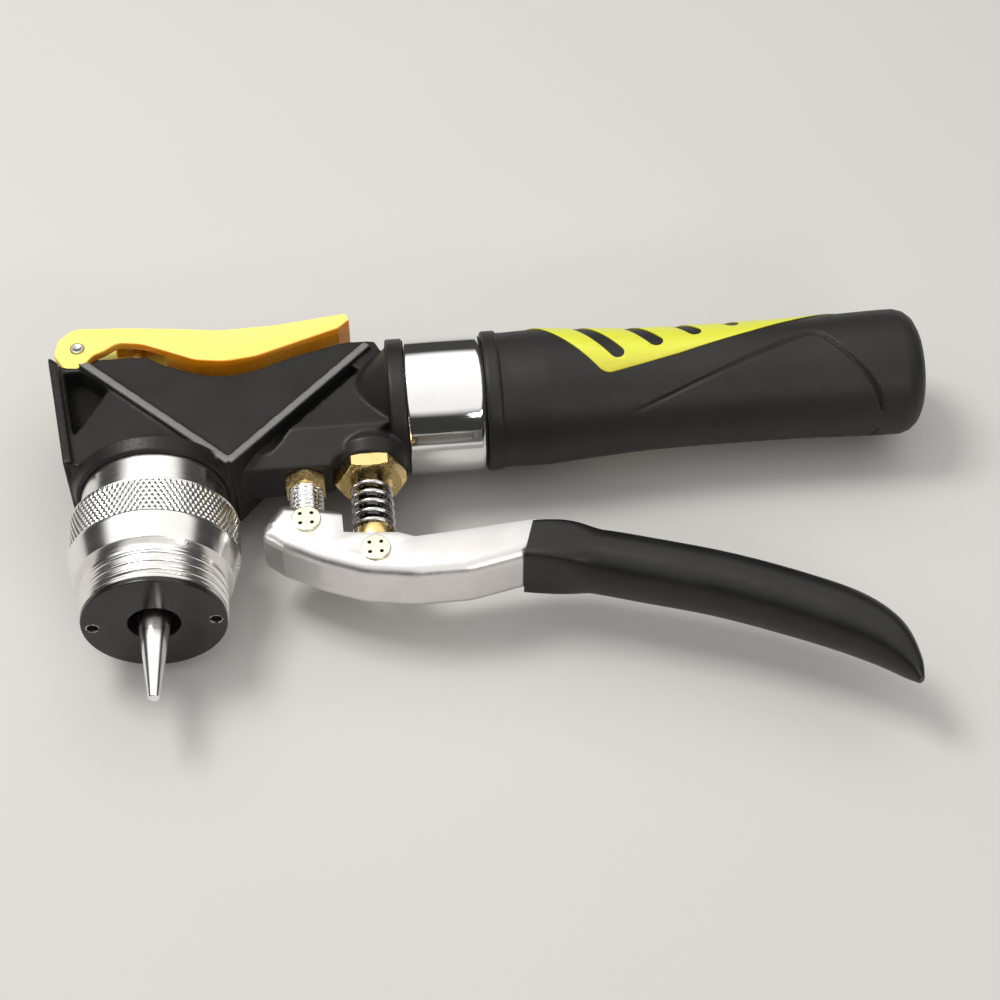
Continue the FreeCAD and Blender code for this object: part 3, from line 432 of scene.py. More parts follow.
# Edges that turn by more than this many degrees are shaded hard: usually, on threads and coils, on fine relief,
# on hexagons and on the two grips. Points closer together than the weld are merged.
SMOOTH_ANGLE = 40
THREAD_ANGLE = 50
RELIEF_ANGLE = 60
HEX_ANGLE = 25
GRIP_ANGLE = 50
WELD = 0.002 * MM


def placed(name, data):
    """A new object in the scene."""
    item = bpy.data.objects.new(name, data)
    bpy.context.scene.collection.objects.link(item)
    return item


def piece(name, points, faces, nodes, smooth_angle=SMOOTH_ANGLE):
    """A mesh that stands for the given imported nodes, on their body and in their finish."""
    mesh = bpy.data.meshes.new(name)
    mesh.from_pydata(points, [], faces)
    shape = bmesh.new()
    shape.from_mesh(mesh)
    bmesh.ops.remove_doubles(shape, verts=shape.verts, dist=WELD)
    bmesh.ops.recalc_face_normals(shape, faces=shape.faces)
    shape.to_mesh(mesh)
    shape.free()
    return settle(placed(name, mesh), nodes, smooth_angle)


def settle(item, nodes, smooth_angle=SMOOTH_ANGLE):
    """Shade a piece, dress it and put it on the body of the nodes that it stands for."""
    shade(item.data, smooth_angle)
    slot = NODE_SLOTS[nodes[0]]
    item.data.materials.clear()
    item.data.materials.append(MATERIALS[slot])
    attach(item, NODES[nodes[0]]["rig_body"])
    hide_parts(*nodes)
    return item


def shade(mesh, angle=SMOOTH_ANGLE):
    """Shade a mesh smooth, with a hard edge wherever two faces turn by more than the angle."""
    mesh.shade_smooth()
    mesh.set_sharp_from_angle(angle=math.radians(angle))


def bake(item):
    """Apply an object's modifiers to its mesh."""
    bpy.context.view_layer.update()
    result = bpy.data.meshes.new_from_object(item.evaluated_get(bpy.context.evaluated_depsgraph_get()))
    item.modifiers.clear()
    item.data = result


# Faces that turn by less than this many degrees are merged before the edges are rounded.
FLAT_ANGLE = 0.4


def softened(node, width, segments=3, angle=28):
    """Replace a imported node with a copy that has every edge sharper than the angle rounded."""
    shape = bmesh.new()
    shape.from_mesh(NODES[node].data)
    bmesh.ops.remove_doubles(shape, verts=shape.verts, dist=WELD)
    bmesh.ops.dissolve_limit(shape, angle_limit=math.radians(FLAT_ANGLE), verts=shape.verts, edges=shape.edges)
    mesh = bpy.data.meshes.new(node + "_soft")
    shape.to_mesh(mesh)
    shape.free()
    item = placed(node + "_soft", mesh)
    bevel = item.modifiers.new("round", "BEVEL")
    bevel.limit_method = "ANGLE"
    bevel.angle_limit = math.radians(angle)
    bevel.width = width
    bevel.segments = segments
    bevel.harden_normals = False
    weights = item.modifiers.new("normals", "WEIGHTED_NORMAL")
    weights.keep_sharp = True
    shade(mesh)
    bake(item)
    settle(item, [node])


def remeshed(node, voxel, rounds, name):
    """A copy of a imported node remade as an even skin, with its edges rounded by smoothing."""
    item = placed(name, NODES[node].data.copy())
    remesh = item.modifiers.new("skin", "REMESH")
    remesh.mode = "VOXEL"
    remesh.voxel_size = voxel
    smooth = item.modifiers.new("round", "SMOOTH")
    smooth.factor = 0.5
    smooth.iterations = rounds
    bake(item)
    return item


def rounded(corners, steps=5):
    """A closed outline from corners (along, radius, rounding), each rounding drawn as a short curve."""
    outline = []
    count = len(corners)
    for index, (along, radius, rounding) in enumerate(corners):
        here = Vector((along, radius))
        if not rounding:
            outline.append(here)
            continue
        before = Vector(corners[index - 1][:2])
        after = Vector(corners[(index + 1) % count][:2])
        start = here + (before - here).normalized() * rounding
        end = here + (after - here).normalized() * rounding
        for step in range(steps + 1):
            blend = step / steps
            outline.append(start.lerp(here, blend).lerp(here.lerp(end, blend), blend))
    return outline


def divided(start, end, count):
    """Evenly spaced outline points from start to end, without the end."""
    return [Vector(start).lerp(Vector(end), step / count) for step in range(count)]


def skin(pairs, columns):
    """The faces that join each pair of rows of points, every row being a closed ring."""
    faces = []
    for row, after in pairs:
        for column in range(columns):
            side = (column + 1) % columns
            faces.append((row * columns + column, row * columns + side,
                          after * columns + side, after * columns + column))
    return faces


def neighbours(rows):
    """Each row together with the one after it."""
    return [(row, row + 1) for row in range(rows - 1)]


# A point nearer to the axis than this lies on it, and two such rows in turn leave no faces.
ON_AXIS = 1e-9


def turned(name, nodes, axis, centre, outline, columns, shape=None, smooth_angle=SMOOTH_ANGLE):
    """A closed outline of (along, radius) turned about an axis. shape can change a point's radius."""
    forward, first, second = AXES[axis]
    middle = Vector(centre)
    points = []
    for along, radius in outline:
        for column in range(columns):
            angle = 2 * math.pi * column / columns
            reach = shape(along, angle, radius) if shape else radius
            across = first * (math.cos(angle) * reach) + second * (math.sin(angle) * reach)
            points.append(middle + forward * along + across)
    rows = len(outline)
    pairs = [(row, (row + 1) % rows) for row in range(rows)]
    off_axis = [pair for pair in pairs if any(outline[row][1] >= ON_AXIS for row in pair)]
    return piece(name, points, skin(off_axis, columns), nodes, smooth_angle)


DRILL_COLUMNS = 40


def drill(item, axis, start, length, radius):
    """Cut a round hole into a piece."""
    forward, first, second = AXES[axis]
    columns = DRILL_COLUMNS
    points = []
    for along in (0, length):
        for column in range(columns):
            angle = 2 * math.pi * column / columns
            points.append(Vector(start) + forward * along
                          + first * (math.cos(angle) * radius) + second * (math.sin(angle) * radius))
    ends = [tuple(reversed(range(columns))), tuple(range(columns, 2 * columns))]
    mesh = bpy.data.meshes.new("drill")
    mesh.from_pydata(points, [], ends + skin(neighbours(2), columns))
    combine(item, placed("drill", mesh), "DIFFERENCE")


def combine(item, other, operation):
    """Change a piece by another closed one, which is used up."""
    change = item.modifiers.new("combine", "BOOLEAN")
    change.operation = operation
    change.solver = "EXACT"
    change.object = other
    bake(item)
    bpy.data.objects.remove(other)
    shade(item.data)


def mark(item, name, value_at):
    """Give every point of a piece a value that its material reads under the given name."""
    values = item.data.attributes.new(name, "FLOAT", "POINT")
    for index, vertex in enumerate(item.data.vertices):
        values.data[index].value = value_at(vertex.co)


def wave(turns):
    """A triangular wave: 0 at whole numbers and 1 halfway between."""
    return 1 - abs(2 * (turns % 1) - 1)


def fade(value, low, high):
    """0 below low, 1 above high and a smooth step between."""
    share = min(1.0, max(0.0, (value - low) / (high - low)))
    return share * share * (3 - 2 * share)


# The share of a pitch over which a thread runs out, and where its flank starts and ends in one wave.
THREAD_RUN_OUT = 0.6
THREAD_FLANK = (0.15, 0.85)


def thread(start, end, pitch, depth):
    """A shape for turned(): a thread that runs out smoothly at both ends."""
    def shape(along, angle, radius):
        if not start < along < end:
            return radius
        run = pitch * THREAD_RUN_OUT
        ends = fade(along, start, start + run) * fade(-along, -end, -end + run)
        groove = fade(wave(along / pitch - angle / (2 * math.pi)), *THREAD_FLANK)
        return radius - depth * groove * ends
    return shape


# ---------------------------------------------------------------- nose
NOSE_RADIUS = 20.5 * MM
NOSE_COLUMNS = 120
PISTON_GAP = 0.06 * MM
TIP_ROUNDING = 0.5 * MM
TIP_END = 0.6 * MM
SLEEVE_ROWS = 90
COLLAR_FACE = 22.2 * MM
COLLAR_BEVEL = 7.0 * MM
COLLAR_FRONT_ROUNDING = 0.25 * MM
COLLAR_BEVEL_ROUNDING = 0.3 * MM
COLLAR_BEVEL_CLEAR = 0.4 * MM
COLLAR_ROWS = 52
# The collar's rounded back edge: how far before the back, and how far below the widest radius.
COLLAR_BACK_EDGE = [(0.6 * MM, 0.0), (0.15 * MM, 0.45 * MM), (0.0, 0.7 * MM)]
SET_SCREW_RADIUS = 1.5 * MM
DRILL_CLEAR = 0.1 * MM
CAP_HOLE = 7.3 * MM
CAP_SPIGOT = 16.5 * MM
CAP_HOLE_ROUNDING = 0.35 * MM
CAP_RIM_ROUNDING = 0.45 * MM
THREAD_PITCH = 2.8 * MM
THREAD_DEPTH = 1.3 * MM
THREAD_START = 0.7 * MM
THREAD_END = 9.6 * MM
KNURL_COUNT = 96
KNURL_COLUMNS = KNURL_COUNT * 8
KNURL_SLOPE = math.tan(math.radians(30))
KNURL_DEPTH = 0.36 * MM
KNURL_FRONT = 7.6 * MM
KNURL_BACK = 0.7 * MM
KNURL_RUN_OUT = 0.4 * MM
KNURL_BELOW = 0.3 * MM
MANDREL_TIP = 1.55 * MM
MANDREL_ROUNDING = 0.5 * MM
MANDREL_STUD = 3.0 * MM
MANDREL_COLUMNS = 80


def nose_sleeve():
    """The nose cylinder, with a real thread in front of the collar."""
    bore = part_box("piston")[1].x + PISTON_GAP
    front, back = SLEEVE_LOW.y, SLEEVE_HIGH.y
    shoulder = COLLAR_LOW.y
    corners = rounded([(front, bore, 0), (front, NOSE_RADIUS, TIP_ROUNDING)])
    corners += divided((front + TIP_END, NOSE_RADIUS), (shoulder, NOSE_RADIUS), SLEEVE_ROWS)
    corners += [Vector((shoulder, NOSE_RADIUS)), Vector((shoulder, COLLAR_BORE)), Vector((back, COLLAR_BORE)),
                Vector((back, bore))]
    turned("nose_threaded_sleeve", ["nose_cylinder"], "Y", ORIGIN, corners, NOSE_COLUMNS,
           thread(front + THREAD_START, THREAD_END, THREAD_PITCH, THREAD_DEPTH), THREAD_ANGLE)


def knurl(along, angle, radius):
    """Two crossing sets of grooves leave small diamonds on the collar's widest stretch."""
    front = COLLAR_LOW.y + KNURL_FRONT
    back = COLLAR_HIGH.y - KNURL_BACK
    if radius < COLLAR_HIGH.x - KNURL_BELOW:
        return radius
    turn = KNURL_COUNT * angle / (2 * math.pi)
    slide = KNURL_COUNT * (along * KNURL_SLOPE) / (2 * math.pi * COLLAR_HIGH.x)
    groove = max(1 - wave(turn + slide), 1 - wave(turn - slide))
    ends = fade(along, front, front + KNURL_RUN_OUT) * fade(-along, -back, -back + KNURL_RUN_OUT)
    return radius - KNURL_DEPTH * groove * ends


def collar():
    """The knurled collar, bevelled towards the nose, with its screw hole."""
    front, back = COLLAR_LOW.y, COLLAR_HIGH.y
    widest = COLLAR_HIGH.x
    bevel_end = front + COLLAR_BEVEL
    corners = rounded([(front, COLLAR_BORE, 0), (front, COLLAR_FACE, COLLAR_FRONT_ROUNDING),
                       (bevel_end, widest, COLLAR_BEVEL_ROUNDING)])
    edge = [Vector((back - before, widest - below)) for before, below in COLLAR_BACK_EDGE]
    corners += divided((bevel_end + COLLAR_BEVEL_CLEAR, widest), edge[0], COLLAR_ROWS)
    corners += edge + [Vector((back, COLLAR_BORE))]
    item = turned("knurled_collar_ring", ["knurled_collar"], "Y", ORIGIN, corners, KNURL_COLUMNS, knurl,
                  RELIEF_ANGLE)
    middle = (SCREW_LOW + SCREW_HIGH) / 2
    start = COLLAR_BORE - DRILL_CLEAR
    drill(item, "X", (start, middle.y, middle.z), (widest - start) * 2, SET_SCREW_RADIUS)


def cap():
    """The black cap with rounded rims and two spanner holes."""
    front, back = CAP_LOW.y, CAP_HIGH.y
    flange = CAP_HIGH.x
    corners = rounded([(front, CAP_HOLE, CAP_HOLE_ROUNDING), (front, flange, CAP_RIM_ROUNDING),
                       (0, flange, 0), (0, CAP_SPIGOT, 0), (back, CAP_SPIGOT, 0), (back, CAP_HOLE, 0)])
    item = turned("nose_cap_disc", ["nose_cap"], "Y", ORIGIN, corners, NOSE_COLUMNS)
    for side in (-1, 1):
        start = (side * SPANNER_CIRCLE, front - SPANNER_DEPTH, 0)
        drill(item, "Y", start, SPANNER_DEPTH * 2, SPANNER_RADIUS)


def mandrel():
    """The cone with its rounded tip and screwed root."""
    low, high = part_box("mandrel")
    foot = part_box("piston")[0].y
    corners = rounded([(low.y, 0, 0), (low.y, MANDREL_TIP, MANDREL_ROUNDING), (foot, high.x, 0),
                       (foot, MANDREL_STUD, 0), (high.y, MANDREL_STUD, 0), (high.y, 0, 0)])
    turned("mandrel_cone", ["mandrel"], "Y", ORIGIN, corners, MANDREL_COLUMNS)


# ---------------------------------------------------------------- casting
CAST_VOXEL = 0.45 * MM
CAST_SMOOTHING = 5
# The slanting ribs: where they meet, where each ends, and the web's half thickness below them.
RIB_APEX = Vector((22.4, 43.0)) * MM
RIB_TOPS = [Vector((-23.3, 90.9)) * MM, Vector((63.8, 87.6)) * MM]
RIB_HALF_WIDTH = 1.3 * MM
# The wear and painted highlight fade in with the height over the web, and out with the distance from the rib's
# middle.
RIB_PROUD = (0.7 * MM, 1.4 * MM)
RIB_REACH = (RIB_HALF_WIDTH * 0.6, RIB_HALF_WIDTH * 1.2)
WEB_FOOT, WEB_TOP = 40.5 * MM, 90.9 * MM
WEB_HALF_FOOT, WEB_HALF_TOP = 12.8 * MM, 8.0 * MM


def rib_wear_and_highlight(point):
    """How much a point lies on a slanting rib's crest, which gets wear and a painted highlight."""
    flat = Vector((point.x, point.y))
    height = (point.y - WEB_FOOT) / (WEB_TOP - WEB_FOOT)
    web = WEB_HALF_FOOT + (WEB_HALF_TOP - WEB_HALF_FOOT) * height
    proud = fade(abs(point.z) - web, *RIB_PROUD)
    near = 0.0
    for top in RIB_TOPS:
        run = top - RIB_APEX
        share = min(1.0, max(0.0, (flat - RIB_APEX).dot(run) / run.length_squared))
        gap = (flat - RIB_APEX - run * share).length
        near = max(near, 1 - fade(gap, *RIB_REACH))
    return near * proud


def casting():
    """The pump casting as one soft-edged cast skin, with rib crests marked for wear and a painted highlight."""
    item = remeshed("pump_body", CAST_VOXEL, CAST_SMOOTHING, "pump_casting")
    mark(item, "rib_wear_and_highlight", rib_wear_and_highlight)
    settle(item, ["pump_body"], RELIEF_ANGLE)


# ---------------------------------------------------------------- brass hexes, link and pins
GLAND_FLATS = 18.0 * MM
GLAND_BORE = 4.05 * MM
GLAND_SHANK = 8.0 * MM
LOCKNUT_FLATS = 11.0 * MM
LOCKNUT_LEAN = math.pi / 6
SIXTH_TURN = math.pi / 3
# A hexagon's chamfer: its rise as a share of its reach, its steps, and how far inside the flats it starts, with
# two more rings on the flat face inside it. The round parts end where the hexagon's shape begins.
CHAMFER_RISE = 0.5
CHAMFER_STEPS = 6
CHAMFER_INSIDE = 0.1 * MM
FACE_RINGS = (0.5 * MM, 0.25 * MM)
HEX_INSIDE = 0.2 * MM
HEX_COLUMNS = 144


def hex_nut(name, node, low, high, flats, bore, back=None, shank=None, lean=0.0):
    """A chamfered hexagon along Y, leaned about it, with a round shank behind it where it has one."""
    centre = ((low.x + high.x) / 2, 0, 0)
    front = low.y
    end = back or high.y
    inner = flats / 2
    chamfer = flats / math.sqrt(3) - inner

    def shape(along, angle, radius):
        if radius <= inner - HEX_INSIDE:
            return radius
        turn = (angle + lean + SIXTH_TURN / 2) % SIXTH_TURN - SIXTH_TURN / 2
        return min(radius, inner / math.cos(turn))

    rise = chamfer * CHAMFER_RISE
    slope = [(rise * step / CHAMFER_STEPS,
              inner - CHAMFER_INSIDE + (chamfer + CHAMFER_INSIDE) * step / CHAMFER_STEPS)
             for step in range(CHAMFER_STEPS + 1)]
    outline = [(front, bore)] + [(front, inner - gap) for gap in FACE_RINGS]
    outline += [(front + depth, radius) for depth, radius in slope]
    outline += [(end - depth, radius) for depth, radius in reversed(slope)]
    outline += [(end, inner - FACE_RINGS[-1])]
    if shank:
        outline += [(end, shank), (high.y, shank)]
    outline += [(outline[-1][0], bore)]
    turned(name, [node], "Y", centre, outline, HEX_COLUMNS, shape, HEX_ANGLE)


# The lever pins and their punch marks. Points within PUNCH_FLOOR of a mark's floor get painted shade.
PIN_COLUMNS = 64
PIN_SHANK = 2.5 * MM
PIN_HEAD_DEPTH = 0.8 * MM
PIN_ROUNDING = 0.35 * MM
PUNCH_CIRCLE = 2.3 * MM
PUNCH_RADIUS = 0.6 * MM
PUNCH_DEPTH = 0.6 * MM
PUNCH_FLOOR = 0.01 * MM
PUNCHES = 4


def pin(name, node):
    """A lever pin whose flat heads are staked with four punch marks each."""
    low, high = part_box(node)
    centre = (low + high) / 2
    head = (high.x - low.x) / 2
    inner = high.z - PIN_HEAD_DEPTH
    outline = rounded([(-high.z, 0, 0), (-high.z, head, PIN_ROUNDING), (-inner, head, 0),
                       (-inner, PIN_SHANK, 0), (inner, PIN_SHANK, 0), (inner, head, 0),
                       (high.z, head, PIN_ROUNDING), (high.z, 0, 0)])
    item = turned(name, [node], "Z", (centre.x, centre.y, 0), outline, PIN_COLUMNS)
    for number in range(PUNCHES):
        angle = 2 * math.pi * (number + 0.5) / PUNCHES
        x = centre.x + math.cos(angle) * PUNCH_CIRCLE
        y = centre.y + math.sin(angle) * PUNCH_CIRCLE
        for start in (high.z - PUNCH_DEPTH, low.z - PUNCH_DEPTH):
            drill(item, "Z", (x, y, start), PUNCH_DEPTH * 2, PUNCH_RADIUS)
    mark(item, "pale", lambda point: 1.0)
    # The floors of the punch marks are marked for painted shade.
    mark(item, "punch_floor_shade", lambda point: float(
        abs(abs(point.z) - high.z + PUNCH_DEPTH) < PUNCH_FLOOR
        and math.hypot(point.x - centre.x, point.y - centre.y) < PUNCH_CIRCLE + PUNCH_RADIUS))


LINK_STUD = 5.0 * MM
LINK_PITCH = 1.5 * MM
LINK_THREAD_DEPTH = 0.75 * MM
LINK_HOLE = 2.56 * MM
LINK_EYE_ROUNDING = 0.5 * MM
LINK_ROWS = 110
LINK_STUD_COLUMNS = 72
LINK_EYE_COLUMNS = 64
DRILL_OVER = 1 * MM


def link():
    """The fulcrum link: an eye for the pin and a stud with a real thread."""
    low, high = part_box("fulcrum_link")
    centre = (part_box("fulcrum_pin")[0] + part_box("fulcrum_pin")[1]) / 2
    eye = centre.y - low.y
    eye_end = centre.y + eye
    outline = [Vector((centre.y, 0)), Vector((centre.y, LINK_STUD)), Vector((eye_end, LINK_STUD))]
    outline += divided((eye_end, LINK_STUD), (LOCKNUT_HIGH.y, LINK_STUD), LINK_ROWS)
    outline += [Vector((LOCKNUT_HIGH.y, LINK_STUD)), Vector((high.y, LINK_STUD)), Vector((high.y, 0))]
    item = turned("fulcrum_link_stud", ["fulcrum_link"], "Y", (centre.x, 0, 0), outline, LINK_STUD_COLUMNS,
                  thread(eye_end, LOCKNUT_HIGH.y, LINK_PITCH, LINK_THREAD_DEPTH), THREAD_ANGLE)
    ends = rounded([(low.z, 0, 0), (low.z, eye, LINK_EYE_ROUNDING), (high.z, eye, LINK_EYE_ROUNDING),
                    (high.z, 0, 0)])
    ball = turned("link_eye", ["fulcrum_link"], "Z", (centre.x, centre.y, 0), ends, LINK_EYE_COLUMNS)
    combine(item, ball, "UNION")
    start = (centre.x, centre.y, low.z - DRILL_OVER)
    drill(item, "Z", start, high.z - low.z + 2 * DRILL_OVER, LINK_HOLE)


# The trigger pin's dished heads: depth, floor and rim as shares of the radius, and the edge's rounding.
DISH_DEPTH = 0.35 * MM
DISH_FLOOR = 0.4
DISH_RIM = 0.65
DISH_ROUNDING = 0.35 * MM
TRIGGER_PIN_COLUMNS = 48


def trigger_pin():
    """The trigger's pivot pin, with a dished head at each end."""
    low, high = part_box("trigger_pin")
    centre = (low + high) / 2
    radius = (high.x - low.x) / 2
    bottom, top = low.z + DISH_DEPTH, high.z - DISH_DEPTH
    floor_radius, rim_radius = radius * DISH_FLOOR, radius * DISH_RIM
    outline = rounded([(bottom, 0, 0), (bottom, floor_radius, 0), (low.z, rim_radius, 0),
                       (low.z, radius, DISH_ROUNDING), (high.z, radius, DISH_ROUNDING),
                       (high.z, rim_radius, 0), (top, floor_radius, 0), (top, 0, 0)])
    turned("trigger_pivot", ["trigger_pin"], "Z", (centre.x, centre.y, 0), outline,
           TRIGGER_PIN_COLUMNS)


# ---------------------------------------------------------------- springs
# Each spring's node, coil radius, wire radius, turns, joint, fixed end along Y, and the share of its length
# that is left at the joint's limit.
SPRINGS = {
    "plunger_spring": ("pump_spring", 5.5 * MM, 0.7 * MM, 5.0, "plunger_slide", GLAND_LOW.y, 0.585),
    "return_spring": ("ram_spring", 12.8 * MM, 1.4 * MM, 3.5, "ram_slide", CAP_HIGH.y, 0.516),
    "valve_spring": ("release_spring", 2.0 * MM, 0.35 * MM, 4.0, "stem_slide", VALVE_FLOOR, 0.72),
}
WIRE_COLUMNS = 16
STEPS_PER_TURN = 40


def spring(name, node, radius, wire, turns, joint, fixed_y, keep):
    """A round-wire spring on its own axis along Y."""
    low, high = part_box(node)
    centre = (low + high) / 2
    start, end = low.y + wire, high.y - wire
    around = WIRE_COLUMNS
    steps = int(turns * STEPS_PER_TURN)
    points = []
    for step in range(steps + 1):
        share = step / steps
        angle = 2 * math.pi * turns * share
        outward = Vector((math.cos(angle), 0, math.sin(angle)))
        middle = Vector((centre.x, start + (end - start) * share, centre.z)) + outward * radius
        for column in range(around):
            lean = 2 * math.pi * column / around
            points.append(middle + outward * (math.cos(lean) * wire) + Vector((0, math.sin(lean) * wire, 0)))
    ends = [tuple(range(around)), tuple(reversed(range(steps * around, (steps + 1) * around)))]
    item = piece(name, points, ends + skin(neighbours(steps + 1), around), [node], THREAD_ANGLE)
    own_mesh(item)


# ---------------------------------------------------------------- handle
# The grip's outline in millimetres: distance along X and radius. GRIP_CURVE gives the first of the points that
# make its smooth waist and the first one after them.
GRIP_PROFILE = [(97.2, 20.3), (97.6, 20.7), (101.1, 20.7), (101.5, 20.45), (101.8, 20.0), (104, 19.95),
                (108, 20.1), (115, 20.2), (130, 19.1), (145, 18.2), (165, 17.9), (190, 18.0), (205, 18.5),
                (216, 18.8), (221.3, 18.8), (223.8, 18.0), (225.8, 16.4), (227.1, 14.0), (227.7, 11.5),
                (227.8, 8.0), (227.8, 4.0), (227.8, 0.0)]
GRIP_CURVE = (7, 14)
GRIP_CURVE_STEPS = 12
GRIP_COLUMNS = 320
# The longest row of faces, in millimetres, beside the panel line and elsewhere.
GRIP_ROW_FINE = 0.45
GRIP_ROW = 0.9
# The pressed panel line's corners in millimetres: distance along X, distance over the skin from the crown of
# the side towards the underside, and the corner's rounding. The line is open at both ends.
PANEL_CORNERS = [(138, 20.4, 0), (195.4, -3.4, 4.5), (211.5, 16.5, 6), (213.2, 24.5, 0)]
# Where the line can be, the X at which it reaches its full depth, and how far round towards the top it is
# looked for, in radians.
PANEL_X = (125, 216)
PANEL_FULL = 150 * MM
PANEL_TOP = -0.35
PANEL_REACH = 18.4 * MM
PANEL_GROOVE = 0.8 * MM
PANEL_GROOVE_WIDTH = 0.9 * MM


def curve_points(corners, steps):
    """Points on a smooth curve through the corners."""
    line = []
    ends = [corners[0]] + corners + [corners[-1]]
    for index in range(len(corners) - 1):
        before, start, end, after = [Vector(point) for point in ends[index:index + 4]]
        for step in range(steps):
            share = step / steps
            line.append(0.5 * ((2 * start) + (end - before) * share
                               + (2 * before - 5 * start + 4 * end - after) * share ** 2
                               + (3 * start - before - 3 * end + after) * share ** 3))
    line.append(Vector(corners[-1]))
    return line


def grip():
    """The moulded grip: lip, waist, rounded end and the panel line pressed into it."""
    corners = curve_points(GRIP_PROFILE, 1)
    first, last = GRIP_CURVE
    outline = corners[:first] + curve_points(GRIP_PROFILE[first:last], GRIP_CURVE_STEPS) + corners[last:]
    line = [corner * MM for corner in rounded(PANEL_CORNERS)]
    rows = []
    for start, end in zip(outline, outline[1:]):
        longest = GRIP_ROW_FINE if PANEL_X[0] < start.x < PANEL_X[1] else GRIP_ROW
        count = max(1, round((end - start).length / longest))
        rows += [start.lerp(end, step / count) * MM for step in range(count)]
    rows.append(outline[-1] * MM)
    columns = GRIP_COLUMNS
    points = []
    for along, radius in rows:
        for column in range(columns):
            angle = 2 * math.pi * column / columns
            side = math.atan2(-math.cos(angle), abs(math.sin(angle)))
            depth = 0.0
            if PANEL_X[0] * MM < along < PANEL_X[1] * MM and side > PANEL_TOP:
                here = Vector((along, side * PANEL_REACH))
                gap = min(distance_to(here, start, end) for start, end in zip(line, line[1:]))
                groove = 1 - fade(gap, 0, PANEL_GROOVE_WIDTH)
                depth = PANEL_GROOVE * groove * fade(along, line[0].x, PANEL_FULL)
            across = radius - depth
            points.append(Vector((along, HANDLE_Y + math.cos(angle) * across, math.sin(angle) * across)))
    faces = skin(neighbours(len(rows)), columns) + [tuple(range(columns))]
    piece("handle_sleeve", points, faces, ["handle_grip"], GRIP_ANGLE)


def distance_to(point, start, end):
    """The distance from a point to a straight stretch."""
    run = end - start
    share = min(1.0, max(0.0, (point - start).dot(run) / max(run.length_squared, 1e-12)))
    return (point - start - run * share).length


# ---------------------------------------------------------------- lever grip
# Sections of the dipped grip in millimetres: centre x and y, lean in degrees, half height and half width.
LEVER_SECTIONS = [(104.6, 11.7, -17, 6.6, 9.7), (109.0, 11.2, -16, 7.0, 9.8), (115.3, 10.2, -16, 7.6, 9.8),
                  (125.0, 7.6, -17, 8.1, 9.8), (136.6, 3.9, -19, 8.3, 9.7), (157.0, -3.0, -21, 8.3, 9.6),
                  (176.5, -11.6, -25, 8.3, 9.4), (191.0, -19.4, -31, 8.0, 8.9), (199.5, -26.8, -46, 6.3, 7.7),
                  (204.0, -34.8, -62, 3.2, 4.8), (205.6, -39.4, -68, 0.9, 1.5)]
# How square the dipped grip is: it covers the arm's square end, and is nearly round from the given X to the
# toe. Then the points round a section and the steps between two given ones.
LEVER_SQUARE = 9.0
LEVER_ROUND = 2.3
LEVER_ROUND_X = 124
LEVER_COLUMNS = 72
LEVER_STEPS = 8


def lever_grip():
    """The dipped grip, a squarish section that ends in a turned-down toe."""
    columns = LEVER_COLUMNS
    sections = curve_points(LEVER_SECTIONS, LEVER_STEPS)
    points = []
    for x, y, lean, half_height, half_width in sections:
        turn = math.radians(lean)
        power = 2 / (LEVER_SQUARE + (LEVER_ROUND - LEVER_SQUARE) * fade(x, sections[0][0], LEVER_ROUND_X))
        up = Vector((-math.sin(turn), math.cos(turn), 0))
        for column in range(columns):
            angle = 2 * math.pi * column / columns
            cosine, sine = math.cos(angle), math.sin(angle)
            high = math.copysign(abs(cosine) ** power, cosine) * half_height
            wide = math.copysign(abs(sine) ** power, sine) * half_width
            points.append((Vector((x, y, 0)) + up * high + Vector((0, 0, wide))) * MM)
    rows = len(sections)
    ends = [tuple(range(columns)), tuple(range((rows - 1) * columns, rows * columns))]
    piece("lever_sleeve", points, skin(neighbours(rows), columns) + ends, ["lever_grip"], GRIP_ANGLE)


# ---------------------------------------------------------------- stage, light and camera
CAMERA_PLACE = Vector((63.2, -337.9, 477.7)) * MM
CAMERA_TARGET = Vector((98.456, 32.408, 0.0)) * MM
CAMERA_LENS = 76
CAMERA_NEAR = 0.01
# The sky: heights between which it brightens, its brightness below and above them, and at the front and back.
SKY_EDGE = (0.46, 0.66)
SKY_LEVELS = (0.05, 1.15)
SKY_TILT = (0.8, 1.2)
SKY_COLOUR = (1.0, 0.985, 0.96, 1.0)
LAMP_COLOUR = (1.0, 0.98, 0.95)
# Each lamp's place, width, depth and power.
LAMPS = {"key": ((-0.3, 0.25, 0.9), 0.35, 0.35, 6), "fill": ((0.5, -0.9, 0.55), 0.5, 0.12, 2.5)}
FLOOR_REACH = 12.0


def floor():
    """A plain pale floor under the tool."""
    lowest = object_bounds()[0][2]
    reach = FLOOR_REACH
    mesh = bpy.data.meshes.new("floor")
    mesh.from_pydata([(-reach, -reach, lowest), (reach, -reach, lowest), (reach, reach, lowest),
                      (-reach, reach, lowest)], [], [(0, 1, 2, 3)])
    item = placed("floor", mesh)
    finish = Finish("floor_pale", (0.53, 0.52, 0.51), 0.75)
    finish.tint(finish.span(finish.noise(0.4), 0.4, 0.7), (0.51, 0.5, 0.49))
    mesh.materials.append(finish.material)
    item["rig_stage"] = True


def aim(item, place, target):
    """Put a lamp or camera in its place, facing the target."""
    item.location = place
    item.rotation_euler = (Vector(target) - Vector(place)).to_track_quat("-Z", "Y").to_euler()


def soft_light(name, target, place, width, depth, power):
    """A rectangular lamp that faces the target."""
    lamp = bpy.data.lights.new(name, "AREA")
    lamp.shape = "RECTANGLE"
    lamp.size = width
    lamp.size_y = depth
    lamp.energy = power
    lamp.color = LAMP_COLOUR
    aim(placed(name, lamp), place, target)


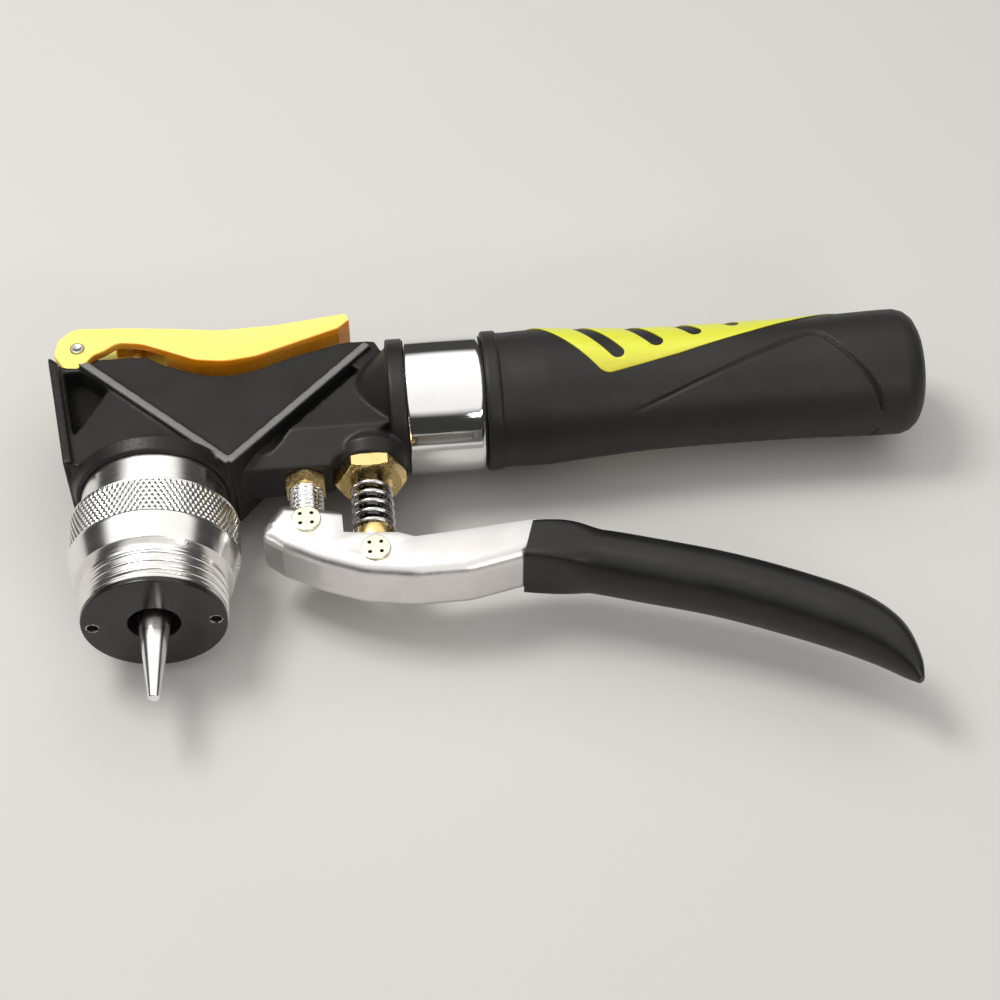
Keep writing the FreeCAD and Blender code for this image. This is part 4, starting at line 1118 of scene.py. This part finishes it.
def studio_sky():
    """A bright ceiling over a dark horizon, a little brighter at the back."""
    world = bpy.data.worlds.new("studio")
    world.use_nodes = True
    nodes, links = world.node_tree.nodes, world.node_tree.links
    background = nodes["Background"]
    parts = nodes.new("ShaderNodeSeparateXYZ")
    links.new(nodes.new("ShaderNodeTexCoord").outputs["Generated"], parts.inputs[0])
    ceiling = nodes.new("ShaderNodeMapRange")
    ceiling.interpolation_type = "SMOOTHSTEP"
    for socket, value in zip(ceiling.inputs, (0.0, *SKY_EDGE, *SKY_LEVELS)):
        socket.default_value = value
    links.new(parts.outputs[2], ceiling.inputs[0])
    tilt = nodes.new("ShaderNodeMapRange")
    for socket, value in zip(tilt.inputs, (0.0, -1.0, 1.0, *SKY_TILT)):
        socket.default_value = value
    links.new(parts.outputs[1], tilt.inputs[0])
    strength = nodes.new("ShaderNodeMath")
    strength.operation = "MULTIPLY"
    links.new(ceiling.outputs[0], strength.inputs[0])
    links.new(tilt.outputs[0], strength.inputs[1])
    links.new(strength.outputs[0], background.inputs["Strength"])
    background.inputs["Color"].default_value = SKY_COLOUR
    bpy.context.scene.world = world


def camera():
    """A camera at the photograph's viewing angle."""
    lens = bpy.data.cameras.new("camera")
    lens.lens = CAMERA_LENS
    lens.clip_start = CAMERA_NEAR
    item = placed("camera", lens)
    aim(item, CAMERA_PLACE, CAMERA_TARGET)
    bpy.context.scene.camera = item


# ---------------------------------------------------------------- the tool
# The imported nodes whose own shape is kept, with the width of their rounded edges, the rounding's segments and
# the least angle that is rounded where these differ from the usual.
SOFTENED = {
    "release_trigger": (0.7 * MM,), "lever_arm": (0.3 * MM, 3, 50), "plunger_foot": (0.35 * MM,),
    "coupling_ring": (0.8 * MM,), "grip_inlay": (0.2 * MM, 2), "release_valve_nut": (0.3 * MM,),
}

bpy.context.scene.view_settings.view_transform = "Standard"
dress_nodes()
nose_sleeve()
collar()
cap()
mandrel()
casting()
hex_nut("gland_hex", "pump_gland", GLAND_LOW, GLAND_HIGH, GLAND_FLATS, GLAND_BORE, GLAND_SEAT, GLAND_SHANK)
hex_nut("locknut_hex", "fulcrum_locknut", LOCKNUT_LOW, LOCKNUT_HIGH, LOCKNUT_FLATS, LINK_STUD,
        lean=LOCKNUT_LEAN)
pin("fulcrum_rivet", "fulcrum_pin")
pin("plunger_rivet", "plunger_pin")
link()
trigger_pin()
for node, facts in SOFTENED.items():
    softened(node, *facts)
for name, facts in SPRINGS.items():
    spring(name, *facts)
grip()
lever_grip()

low, high = [Vector(corner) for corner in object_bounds()]
floor()
for name, facts in LAMPS.items():
    soft_light(name, (low + high) / 2, *facts)
studio_sky()
camera()
